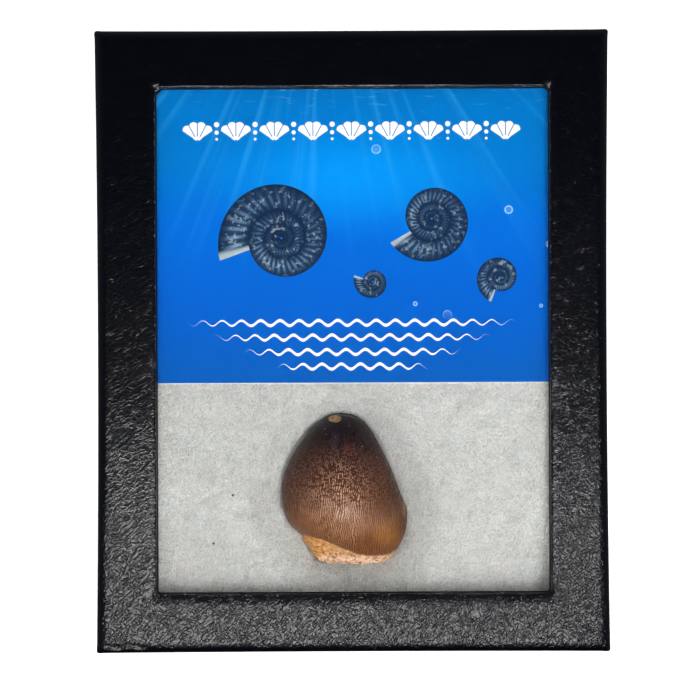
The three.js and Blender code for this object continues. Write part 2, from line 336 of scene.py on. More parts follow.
@dataclass(frozen=True, eq=False)
class Field:
    """A number that varies over a surface: an output socket. Arithmetic on it adds Math nodes to its tree."""

    wiring: "Wiring"
    socket: bpy.types.NodeSocket

    def _math(self, operation: str, *others: "Number") -> "Field":
        """Adds a Math node that works on this field and the others."""
        inputs = dict(enumerate((self, *others)))
        return Field(self.wiring, self.wiring.add("ShaderNodeMath", inputs, operation=operation).outputs[0])

    def __add__(self, other: "Number") -> "Field":
        """The sum."""
        return self._math("ADD", other)

    def __sub__(self, other: "Number") -> "Field":
        """The difference."""
        return self._math("SUBTRACT", other)

    def __mul__(self, other: "Number") -> "Field":
        """The product."""
        return self._math("MULTIPLY", other)

    def __truediv__(self, other: "Number") -> "Field":
        """The quotient."""
        return self._math("DIVIDE", other)

    def __abs__(self) -> "Field":
        """The size without the sign."""
        return self._math("ABSOLUTE")

    __radd__ = __add__
    __rmul__ = __mul__

    def sin(self) -> "Field":
        """The sine."""
        return self._math("SINE")

    def floor(self) -> "Field":
        """The whole number below."""
        return self._math("FLOOR")

    def fract(self) -> "Field":
        """What is left over the whole number below."""
        return self._math("FRACT")

    def log(self) -> "Field":
        """The natural logarithm."""
        return self._math("LOGARITHM", math.e)

    def least(self, other: "Number") -> "Field":
        """The smaller of the two."""
        return self._math("MINIMUM", other)

    def most(self, other: "Number") -> "Field":
        """The larger of the two."""
        return self._math("MAXIMUM", other)

    def beside(self, other: "Field") -> "Field":
        """The length of the diagonal over this and the other."""
        return (self * self + other * other)._math("SQRT")

    def angle(self, other: "Field") -> "Field":
        """The angle whose sine goes as this and whose cosine as the other."""
        return self._math("ARCTAN2", other)

    def ramp(self, low: float, high: float, smooth: bool = True) -> "Field":
        """The share of the way from low to high, held between 0 and 1."""
        inputs = {"Value": self, "From Min": low, "From Max": high}
        kind = "SMOOTHSTEP" if smooth else "LINEAR"
        node = self.wiring.add("ShaderNodeMapRange", inputs, interpolation_type=kind)
        return Field(self.wiring, node.outputs[0])


Number = Field | float
Paint = bpy.types.NodeSocket | Colour


@dataclass(frozen=True, eq=False)
class Wiring:
    """Adds nodes to one tree, a material's or a group's, and joins them."""

    tree: bpy.types.NodeTree

    def add(
        self,
        kind: str,
        inputs: Mapping[str | int, Any] | None = None,
        **settings: Any,
    ) -> bpy.types.Node:
        """Adds a node.

        Args:
            kind: The node's type.
            inputs: A value, field or socket for each input, by name or number.
            **settings: The node's own options.

        Returns:
            The node.
        """
        node = self.tree.nodes.new(kind)
        for key, value in settings.items():
            setattr(node, key, value)
        for key, value in (inputs or {}).items():
            self.plug(value, node.inputs[key])
        return node

    def plug(self, value: Any, into: bpy.types.NodeSocket) -> None:
        """Links a field or socket into an input, or sets the input's own value."""
        source = value.socket if isinstance(value, Field) else value
        if isinstance(source, bpy.types.NodeSocket):
            self.tree.links.new(source, into)
        else:
            into.default_value = source

    def place(self) -> bpy.types.NodeSocket:
        """Object coordinates in millimetres."""
        metres = self.add("ShaderNodeTexCoord").outputs["Object"]
        return self.add("ShaderNodeVectorMath", {0: metres, "Scale": 1 / MM}, operation="SCALE").outputs[0]

    def axes(self, place: bpy.types.NodeSocket) -> tuple[Field, Field, Field]:
        """The three parts of a place."""
        parts = self.add("ShaderNodeSeparateXYZ", {0: place}).outputs
        return tuple(Field(self, part) for part in parts)

    def joined(self, x: Number, y: Number, z: Number) -> bpy.types.NodeSocket:
        """A place from its three parts."""
        return self.add("ShaderNodeCombineXYZ", {0: x, 1: y, 2: z}).outputs[0]

    def turned(self, place: bpy.types.NodeSocket, degrees: float) -> bpy.types.NodeSocket:
        """A place turned about Z."""
        turn = (0, 0, math.radians(degrees))
        return self.add("ShaderNodeMapping", {"Vector": place, "Rotation": turn}).outputs[0]

    def stretched(
        self,
        place: bpy.types.NodeSocket,
        degrees: float,
        stretch: Sequence[float],
    ) -> bpy.types.NodeSocket:
        """A place turned about Z, then with each axis divided by its stretch."""
        inputs = {"Vector": self.turned(place, degrees), "Scale": tuple(1 / length for length in stretch)}
        return self.add("ShaderNodeMapping", inputs).outputs[0]

    def _per(self, size: Number) -> Number:
        """One over a size."""
        return size._math("POWER", -1.0) if isinstance(size, Field) else 1 / size

    def noise(self, place: bpy.types.NodeSocket, size: Number, detail: float = 2, warp: float = 0) -> Field:
        """Cloudy noise between 0 and 1.

        Args:
            place: Where it is read.
            size: The size of its largest blotches.
            detail: How many finer octaves are added.
            warp: How far it bends itself.

        Returns:
            The noise.
        """
        inputs = {"Vector": place, "Scale": self._per(size), "Detail": detail, "Distortion": warp}
        return Field(self, self.add("ShaderNodeTexNoise", inputs).outputs[0])

    def cells(self, place: bpy.types.NodeSocket, size: Number) -> tuple[Field, Field, Field]:
        """Random cells of about that size: the way to the nearest cell's middle, and two draws of its own."""
        inputs = {"Vector": place, "Scale": self._per(size)}
        cell = self.add("ShaderNodeTexVoronoi", inputs, feature="F1").outputs
        draws = self.add("ShaderNodeSeparateColor", {0: cell["Color"]}).outputs
        return Field(self, cell["Distance"]) * size, Field(self, draws[0]), Field(self, draws[1])

    def mix(self, share: Number, under: Paint, over: Paint) -> bpy.types.NodeSocket:
        """The under colour, with the over colour on it by a share."""
        inputs = {0: share, 6: under, 7: over}
        return self.add("ShaderNodeMix", inputs, data_type="RGBA").outputs[2]

    def laid(self, under: Paint, *overs: tuple[Number, Paint]) -> bpy.types.NodeSocket:
        """The under colour, with each of the others on it in turn by its own share."""
        return reduce(lambda colour, over: self.mix(over[0], colour, over[1]), overs, under)

    def blend(self, share: Field, stops: Sequence[tuple[float, Colour]]) -> bpy.types.NodeSocket:
        """Colours along a share from 0 to 1.

        Args:
            share: Where along the stops each point is.
            stops: Positions in rising order, with their colours.

        Returns:
            The colour's socket.
        """
        node = self.add("ShaderNodeValToRGB", {0: share})
        elements = node.color_ramp.elements
        for position, colour in stops[1:-1]:
            elements.new(position).color = colour
        elements[0].position, elements[0].color = stops[0]
        elements[len(stops) - 1].position, elements[len(stops) - 1].color = stops[-1]
        return node.outputs[0]

    def attribute(self, name: str) -> Field:
        """A number that the mesh carries at its points."""
        return Field(self, self.add("ShaderNodeAttribute", attribute_name=name).outputs["Fac"])

    def effect(self, effect: "Effect", **dials: Number) -> Field:
        """Places a shared effect and sets its dials."""
        node = self.add("ShaderNodeGroup", node_tree=effect.group())
        for dial, value in dials.items():
            self.plug(value, node.inputs[dial])
        return Field(self, node.outputs[0])


class Effect(Enum):
    """Surface effects that more than one finish uses, each a node group with one output."""

    MOTTLE = "mottle"
    GRAIN = "grain"
    WEAR = "wear"
    DUST = "dust"
    STRANDS = "strands"

    def group(self) -> bpy.types.NodeTree:
        """The effect's node group, built the first time it is asked for."""
        made = bpy.data.node_groups.get(self.value)
        return made if made else getattr(self, f"_{self.value}")()

    def _start(self, **dials: float) -> tuple[Wiring, dict[str, Field]]:
        """Opens the effect's group.

        Args:
            **dials: The group's inputs and their usual values.

        Returns:
            The group's wiring and its inputs as fields.
        """
        tree = bpy.data.node_groups.new(self.value, "ShaderNodeTree")
        for dial, value in dials.items():
            socket = tree.interface.new_socket(dial, in_out="INPUT", socket_type="NodeSocketFloat")
            socket.default_value = value
        tree.interface.new_socket("Value", in_out="OUTPUT", socket_type="NodeSocketFloat")
        wiring = Wiring(tree)
        entry = wiring.add("NodeGroupInput")
        return wiring, {dial: Field(wiring, entry.outputs[dial]) for dial in dials}

    def _end(self, result: Field) -> bpy.types.NodeTree:
        """Sends the result to the group's output."""
        result.wiring.add("NodeGroupOutput", {0: result})
        return result.wiring.tree

    def _mottle(self) -> bpy.types.NodeTree:
        """Uneven tone: broad blotches with half as much of ones five times finer."""
        wiring, dial = self._start(Size=5)
        place = wiring.place()
        broad = wiring.noise(place, dial["Size"], detail=3)
        fine = wiring.noise(place, dial["Size"] * 0.2, detail=2)
        return self._end((broad * 2 + fine) / 3)

    def _grain(self) -> bpy.types.NodeTree:
        """Embossed leather: a net of thin ridges that lean both ways, on soft swells, with fine grit.

        A ridge runs where a noise stretched along it, in a place bent by a slower noise, passes through its
        middle value.
        """
        wiring, dial = self._start(Cell=1.0, Crease=0.6, Swell=1.0, Grit=0.2)
        place = wiring.place()
        bend = wiring.add("ShaderNodeTexNoise", {"Vector": place, "Scale": 0.3, "Detail": 1.0}).outputs[1]
        half = (0.5, 0.5, 0.5)
        swirl = wiring.add("ShaderNodeVectorMath", {0: bend, 1: half}, operation="SUBTRACT").outputs[0]
        push = wiring.add("ShaderNodeVectorMath", {0: swirl, "Scale": 1.7}, operation="SCALE").outputs[0]
        bent = wiring.add("ShaderNodeVectorMath", {0: place, 1: push}).outputs[0]
        nets = []
        for degrees, stretch, share, height in (
            (-42, (2.4, 0.8, 1.0), 1.0, 1.0),
            (52, (1.7, 0.75, 1.0), 0.9, 0.85),
        ):
            layer = wiring.noise(wiring.stretched(bent, degrees, stretch), dial["Cell"] * share, detail=0)
            nets.append(abs(layer - 0.5).ramp(0.13, 0.0, smooth=False) * height)
        ridges = reduce(Field.most, nets) * dial["Crease"]
        swells = wiring.noise(place, dial["Cell"] * 0.8, detail=0) * dial["Swell"]
        return self._end(ridges + swells + wiring.noise(place, 0.3, detail=1) * dial["Grit"])

    def _wear(self) -> bpy.types.NodeTree:
        """Rubbed patches, where the edge share and patchy noise add up to enough."""
        wiring, dial = self._start(Edge=0, Amount=0.5, Patch=0.6)
        patches = wiring.noise(wiring.place(), dial["Patch"], detail=4)
        rubbed = (dial["Edge"] * dial["Amount"] + patches).ramp(0.92, 1.12)
        return self._end(rubbed * dial["Edge"].ramp(0.02, 0.3))

    def _dust(self) -> bpy.types.NodeTree:
        """Scattered specks: the middle of each random cell, in the share of the cells that is chosen."""
        wiring, dial = self._start(Spacing=3, Share=0.3, Speck=0.06)
        distance, draw, _ = wiring.cells(wiring.place(), dial["Spacing"])
        speck = (dial["Speck"] - distance).ramp(0.0, 0.04)
        return self._end(speck * (dial["Share"] - draw).ramp(0.0, 0.02))

    def _strands(self) -> bpy.types.NodeTree:
        """Fine threads that lie in four directions: the strongest of four stretched noises."""
        wiring, dial = self._start(Width=0.12, Length=2.2)
        place = wiring.place()
        layers = []
        for degrees in (-50, -8, 37, 81):
            x, y, z = wiring.axes(wiring.turned(place, degrees))
            spun = wiring.joined(x / dial["Length"] + degrees, y / dial["Width"], z / dial["Width"] * 0.5)
            layers.append(wiring.noise(spun, 1.0, detail=1, warp=0.35))
        return self._end(reduce(Field.most, layers).ramp(0.45, 0.85))


class Coat:
    """A new material: its wiring and its Principled shader, joined to the output."""

    def __init__(self, name: str, **constants: float | Colour) -> None:
        """Makes the material.

        Args:
            name: The material's name.
            **constants: Values for the shader's own sockets, with _ for a blank in the socket's name.
        """
        self.material = bpy.data.materials.new(name)
        self.material.use_nodes = True
        self.material.node_tree.nodes.clear()
        self.wiring = Wiring(self.material.node_tree)
        self.shader = self.wiring.add("ShaderNodeBsdfPrincipled")
        self.output = self.wiring.add("ShaderNodeOutputMaterial", {"Surface": self.shader.outputs[0]})
        self.set(**constants)

    def set(self, **values: Any) -> None:
        """Sets or links the shader's sockets, with _ for a blank in a socket's name."""
        titles = {"ior": "IOR", "specular_ior_level": "Specular IOR Level"}
        for key, value in values.items():
            self.wiring.plug(value, self.shader.inputs[titles.get(key, key.replace("_", " ").title())])

    def relief(self, height: Field, depth: float, strength: float = 1.0) -> None:
        """Bumps the surface: a height from 0 to 1 stands for that depth in millimetres."""
        inputs = {"Strength": strength, "Distance": depth * MM, "Height": height}
        self.set(normal=self.wiring.add("ShaderNodeBump", inputs).outputs[0])


# Finishes


@dataclass(frozen=True)
class LeatherGrain:
    """Black wrap embossed like leather, glued over board, rubbed grey along its edges.

    The creases get deeper and the sheen duller down the case, by the square of a smooth rise.
    """

    black: Colour = srgb(1, 1.5, 5)
    rubbed: Colour = srgb(104, 102, 100)
    cell: float = 0.78
    depth: float = 0.05

    def material(self) -> bpy.types.Material:
        """Builds the material. The mesh carries edge, the share of wear that each point takes, and inside, 1
        where the wrap is turned in and stays dull."""
        coat = Coat("leather_grain", specular_ior_level=0.59)
        wiring = coat.wiring
        across, up, _ = wiring.axes(wiring.place())
        cell = across.ramp(30, -50, smooth=False) * 0.2 + self.cell
        rise = up.ramp(8, -56)
        low = rise * rise
        crease, swell = low * 0.72 + 0.38, low * 0.45 + 0.05
        grain = wiring.effect(Effect.GRAIN, Cell=cell, Crease=crease, Swell=swell, Grit=0.12)
        mottle = wiring.effect(Effect.MOTTLE, Size=9)
        wear = wiring.effect(Effect.WEAR, Edge=wiring.attribute("edge"), Amount=0.55, Patch=0.5)
        dust = wiring.effect(Effect.DUST, Spacing=3.1, Share=0.25, Speck=0.05)
        marks = wear.most(dust * 0.5)
        coat.set(base_color=wiring.mix(marks, self.black, self.rubbed))
        coat.set(roughness=mottle * 0.06 + 0.19 + low * 0.09 + marks * 0.3 + wiring.attribute("inside") * 0.5)
        coat.relief(grain, self.depth)
        return coat.material


@dataclass(frozen=True)
class CoverPaper:
    """Smooth black cover paper over chipboard, whose grey core shows where it is cut."""

    black: Colour = srgb(22, 22, 25)
    core: Colour = srgb(120, 112, 100)

    def material(self) -> bpy.types.Material:
        """Builds the material. The mesh carries edge, the share of wear that each point takes."""
        coat = Coat("cover_paper")
        wiring = coat.wiring
        grain = wiring.effect(Effect.GRAIN, Cell=0.45, Crease=0.15, Swell=0.5, Grit=0.8)
        mottle = wiring.effect(Effect.MOTTLE, Size=6)
        wear = wiring.effect(Effect.WEAR, Edge=wiring.attribute("edge"), Amount=0.6, Patch=1.1)
        dust = wiring.effect(Effect.DUST, Spacing=4.3, Share=0.3, Speck=0.06)
        coat.set(base_color=wiring.mix(wear.most(dust * 0.5), self.black, self.core))
        coat.set(roughness=mottle * 0.25 + 0.4)
        coat.relief(grain, 0.03)
        return coat.material


@dataclass(frozen=True)
class WindowGlass:
    """Clear glass with the faint green of window glass. Light for what is under it goes straight through."""

    tint: Colour = (0.985, 0.99, 0.985, 1.0)
    passing: Colour = (0.935, 0.93, 0.91, 1.0)

    def material(self) -> bpy.types.Material:
        """Builds the material."""
        coat = Coat("window_glass", base_color=self.tint, roughness=0.0, ior=1.52, transmission_weight=1.0)
        wiring = coat.wiring
        smear = wiring.effect(Effect.MOTTLE, Size=22)
        coat.relief(smear, 0.004, 0.15)
        shadow = wiring.add("ShaderNodeLightPath").outputs["Is Shadow Ray"]
        clear = wiring.add("ShaderNodeBsdfTransparent", {"Color": self.passing}).outputs[0]
        both = wiring.add("ShaderNodeMixShader", {0: shadow, 1: coat.shader.outputs[0], 2: clear}).outputs[0]
        wiring.plug(both, coat.output.inputs["Surface"])
        return coat.material


@dataclass(frozen=True)
class Steel:
    """Nickelled pin steel, drawn lengthwise."""

    bright: Colour = srgb(205, 204, 200)
    dull: Colour = srgb(150, 147, 140)

    def material(self) -> bpy.types.Material:
        """Builds the material."""
        coat = Coat("pin_steel", metallic=1.0)
        wiring = coat.wiring
        drawn = wiring.effect(Effect.STRANDS, Width=0.05, Length=1.5)
        tarnish = wiring.effect(Effect.MOTTLE, Size=1.2)
        coat.set(base_color=wiring.mix(tarnish.ramp(0.4, 0.75), self.bright, self.dull))
        coat.set(roughness=tarnish * 0.25 + drawn * 0.1 + 0.15)
        coat.relief(drawn, 0.004)
        return coat.material


@dataclass(frozen=True)
class Fibre:
    """White polyester fibre, pressed flat."""

    light: Colour = srgb(252, 253, 252)
    shade: Colour = srgb(168, 169, 167)
    specks: tuple[tuple[float, float], ...] = ((-25.6, -32.7), (-29.8, -43.1))

    def material(self, name: str, lighter: float) -> bpy.types.Material:
        """Builds the material, with a dark speck here and there and painted light that makes it a little
        lighter towards the right. Loose fibres carry tone, how light each is.

        Args:
            name: The material's name.
            lighter: How far the colour is pushed from the shade to the light.

        Returns:
            The material.
        """
        coat = Coat(name, roughness=0.9, specular_ior_level=0.3, sheen_weight=0.25, sheen_roughness=0.4)
        wiring = coat.wiring
        strands = wiring.effect(Effect.STRANDS, Width=0.14, Length=1.6)
        mottle = wiring.effect(Effect.MOTTLE, Size=3.0)
        own = wiring.attribute("tone") * 0.8
        x, y, _ = wiring.axes(wiring.place())
        # Painted light: the fibre is a little lighter towards the right, where more light falls.
        tone = strands + mottle + own + x.ramp(-30.0, 30.0) * 0.06 + lighter - 0.71
        tone = tone.ramp(0.0, 1.0, smooth=False)
        speck = reduce(Field.least, [(x - across).beside(y - up) for across, up in self.specks])
        tint = wiring.noise(wiring.place(), 4.0, detail=2)
        coat.set(base_color=wiring.laid(
            self.shade,
            (tone, self.light),
            (tint.ramp(0.52, 0.66) * 0.05, srgb(240, 190, 170)),
            (tint.ramp(0.48, 0.34) * 0.05, srgb(180, 204, 215)),
            (speck.ramp(0.34, 0.2), srgb(52, 44, 40)),
        ))
        coat.relief(strands + mottle, 0.1)
        return coat.material


@dataclass(frozen=True)
class Shell:
    """One coiled shell in the card's picture."""

    across: float
    up: float
    radius: float
    opening: float
    mirrored: bool
    whorl: float = 0.105
    ribs: int = 34


@dataclass(frozen=True)
class Ripple:
    """One wavy line of the card's ornament."""

    up: float
    half: float
    lag: float


@dataclass(frozen=True)
class PrintedCard:
    """Glossy printed card: blue water with sunbeams, bubbles and coiled shells, under a row of white fans and
    over nested white ripples."""

    shells: tuple[Shell, ...] = (
        Shell(-15.0, 22.0, 14.0, 200, False),
        Shell(17.0, 26.0, 10.2, 330, True),
        Shell(31.5, 13.5, 5.6, 250, False),
        Shell(4.4, 12.6, 4.2, 20, True),
    )
    ripples: tuple[Ripple, ...] = (
        Ripple(3.9, 37.0, 0.0), Ripple(0.8, 31.0, 1.9), Ripple(-2.3, 24.5, 3.6), Ripple(-5.4, 17.0, 5.2),
    )
    fan_pitch: float = 8.2
    fan_foot: float = 42.6
    fan_reach: float = 3.9
    row_half: float = 36.9
    ripple_pitch: float = 4.1
    bubble_pitch: float = 7.0
    white: Colour = srgb(246, 246, 242)

    def _water(self, wiring: Wiring, x: Field, y: Field) -> bpy.types.NodeSocket:
        """Deep blue at the foot, lighter upwards, with a glow above the middle, sunbeams and ripples."""
        base = wiring.blend((y - CARD_FOOT) / (CARD_HEAD - CARD_FOOT), (
            (0.0, srgb(0, 84, 170)),
            (0.27, srgb(0, 91, 191)),
            (0.48, srgb(0, 102, 203)),
            (0.66, srgb(0, 113, 192)),
            (0.87, srgb(0, 113, 188)),
            (1.0, srgb(0, 112, 188)),
        ))
        glow = (x / 34).beside((y - 35) / 13).ramp(1.15, 0.0)
        slant = (x + 6).angle(y * -1 + 96)
        beams = wiring.noise(wiring.joined(slant * 22, y * 0.012, 0), 1.0, detail=2).ramp(0.5, 0.72)
        ripple = wiring.noise(wiring.joined(x * 0.25, y * 1.3, 0), 1.0, detail=3, warp=0.6).ramp(0.62, 0.72)
        return wiring.laid(
            base,
            (glow * 0.75, srgb(0, 148, 238)),
            (beams * y.ramp(8, 52) * 0.2, srgb(70, 190, 255)),
            (ripple * y.ramp(46, 56) * 0.35, srgb(120, 200, 245)),
        )

    def _bubbles(self, wiring: Wiring, x: Field, y: Field, under: Paint) -> bpy.types.NodeSocket:
        """Rings with a small light, one in some of the cells, of mixed sizes."""
        distance, first, second = wiring.cells(wiring.joined(x, y, 0.0), self.bubble_pitch)
        radius = second * 0.75 + 0.3
        chosen = first.ramp(0.62, 0.64) * y.ramp(4, 8) * y.ramp(44, 40)
        ring = abs(distance - radius).ramp(0.16, 0.05) * 0.65
        inside = (distance - radius).ramp(0.0, -0.4) * 0.16
        return wiring.mix(ring.most(inside) * chosen, under, srgb(170, 220, 250))

    def _coil(self, wiring: Wiring, x: Field, y: Field, shell: Shell, under: Paint) -> bpy.types.NodeSocket:
        """A shell's picture.

        Its outer line is a radius that grows by e to the power of whorl times the angle, up to the opening.
        Inside that, the logarithm of the distance says which whorl a point is on and how far across it.
        Each whorl is dark at its seams and round between them, and crossed by curved ribs.

        Args:
            wiring: The material's wiring.
            x: Place across the card.
            y: Place up the card.
            shell: What to draw.
            under: The colour so far.

        Returns:
            The colour with the shell on it.
        """
        side = -1.0 if shell.mirrored else 1.0
        away_x = (x - shell.across) * side
        away_y = y - shell.up
        distance = away_x.beside(away_y)
        turn = math.radians(shell.opening)
        cosine, sine = math.cos(turn), math.sin(turn)
        across = away_x * cosine + away_y * sine
        over = away_y * cosine - away_x * sine
        angle = (over.angle(across) / TURN).fract()
        inward = (distance / shell.radius).log() * (-1 / (TURN * shell.whorl))
        count = inward + angle - 1
        within = count.fract()
        whole = count.floor()
        inside = count.ramp(0.0, 0.012) * distance.ramp(0.14, 0.3)
        round_ = (within * math.pi).sin()
        ribs = ((angle - whole) * (TURN * shell.ribs) + within * 3.2).sin().ramp(-0.6, 0.9)
        lit = ((across * 0.35 + over * 0.2) / shell.radius + 0.55).ramp(0.1, 1.1)
        tone = round_ * (ribs * 0.55 + 0.35) * (lit * 0.7 + 0.45) * whole.ramp(5.0, -1.5)
        body = wiring.blend(tone.ramp(0.0, 0.95, smooth=False), (
            (0.0, srgb(16, 34, 62)),
            (0.35, srgb(38, 62, 92)),
            (0.7, srgb(88, 116, 140)),
            (1.0, srgb(158, 184, 196)),
        ))
        spots = wiring.noise(wiring.joined(x, y, 3.0), 0.9, detail=3).ramp(0.56, 0.66)
        spotted = wiring.mix(spots * round_ * 0.4, body, srgb(176, 200, 206))
        lip = angle.ramp(0.975, 0.99) * inside * whole.ramp(0.5, 0.0)
        return wiring.mix(inside, under, wiring.mix(lip * 0.6, spotted, srgb(200, 214, 214)))

    def _fans(self, x: Field, y: Field) -> Field:
        """A straight row of white scallop fans with fine ribs, and three rising dots between each two.

        A fan's lobes and ribs follow the sine of a multiple of the angle at its foot.
        """
        steps = x / self.fan_pitch + 0.5
        fan_x = (steps.fract() - 0.5) * self.fan_pitch
        fan_y = y - self.fan_foot
        reach = fan_x.beside(fan_y)
        spread = fan_x.angle(fan_y)
        lobe = abs((spread * 6.5).sin())
        rim = (reach - lobe * 0.42).ramp(self.fan_reach, self.fan_reach - 0.13)
        ribs = (lobe * reach).ramp(0.4, 0.85).most(reach.ramp(1.25, 1.05))
        fan = rim * ribs * abs(spread).ramp(0.985, 0.945) * reach.ramp(0.3, 0.45)
        dot_x = ((steps + 0.5).fract() - 0.5) * self.fan_pitch
        for rise, radius in ((0.5, 0.34), (1.9, 0.5), (3.6, 0.62)):
            dot = dot_x.beside(fan_y - rise).ramp(radius, radius - 0.13)
            fan = fan.most(dot * abs(x).ramp(self.row_half - 2, self.row_half - 2.2))
        return fan * abs(x).ramp(self.row_half, self.row_half - 0.1)

    def _ripples(self, x: Field, y: Field) -> Field:
        """White waves whose lines get shorter downwards and thin out towards their ends."""
        lines = []
        for ripple in self.ripples:
            wave = abs(y - ripple.up - (x * (TURN / self.ripple_pitch) + ripple.lag).sin() * 0.55)
            thin = (abs(x) / ripple.half).ramp(0.55, 1.0, smooth=False) * 0.4
            lines.append((wave + thin).ramp(0.38, 0.26))
        return reduce(Field.most, lines)

    def material(self) -> bpy.types.Material:
        """Builds the material, in the card's own place in the case."""
        coat = Coat("printed_card", specular_ior_level=0.05)
        wiring = coat.wiring
        x, y, _ = wiring.axes(wiring.place())
        picture = self._bubbles(wiring, x, y, self._water(wiring, x, y))
        for shell in self.shells:
            picture = self._coil(wiring, x, y, shell, picture)
        white = self._fans(x, y).most(self._ripples(x, y))
        trim = (abs(x) * -1 + CARD_HALF_WIDTH).least(y - CARD_FOOT).least(y * -1 + CARD_HEAD)
        paper = wiring.effect(Effect.MOTTLE, Size=1.4)
        dust = wiring.effect(Effect.DUST, Spacing=6, Share=0.35, Speck=0.05)
        coat.set(base_color=wiring.laid(
            picture,
            (white, self.white),
            (trim.ramp(0.2, 0.12), srgb(226, 230, 232)),
            (paper.ramp(0.35, 0.8) * 0.06, srgb(0, 60, 120)),
            (dust * 0.4, srgb(210, 226, 240)),
        ))
        coat.set(roughness=paper * 0.1 + 0.3)
        coat.relief(paper, 0.01)
        return coat.material


@dataclass(frozen=True)
class Stain:
    """An oval patch of another colour, full within one share of its radii and gone past another."""

    middle: tuple[float, float]
    radii: tuple[float, float]
    gone: float
    full: float
    strength: float
    colour: Colour

    def share(self, x: Field, y: Field) -> Field:
        """How much of the stain a place takes, by its distance from the middle over the radii."""
        away = ((x - self.middle[0]) / self.radii[0]).beside((y - self.middle[1]) / self.radii[1])
        return away.ramp(self.gone, self.full) * self.strength


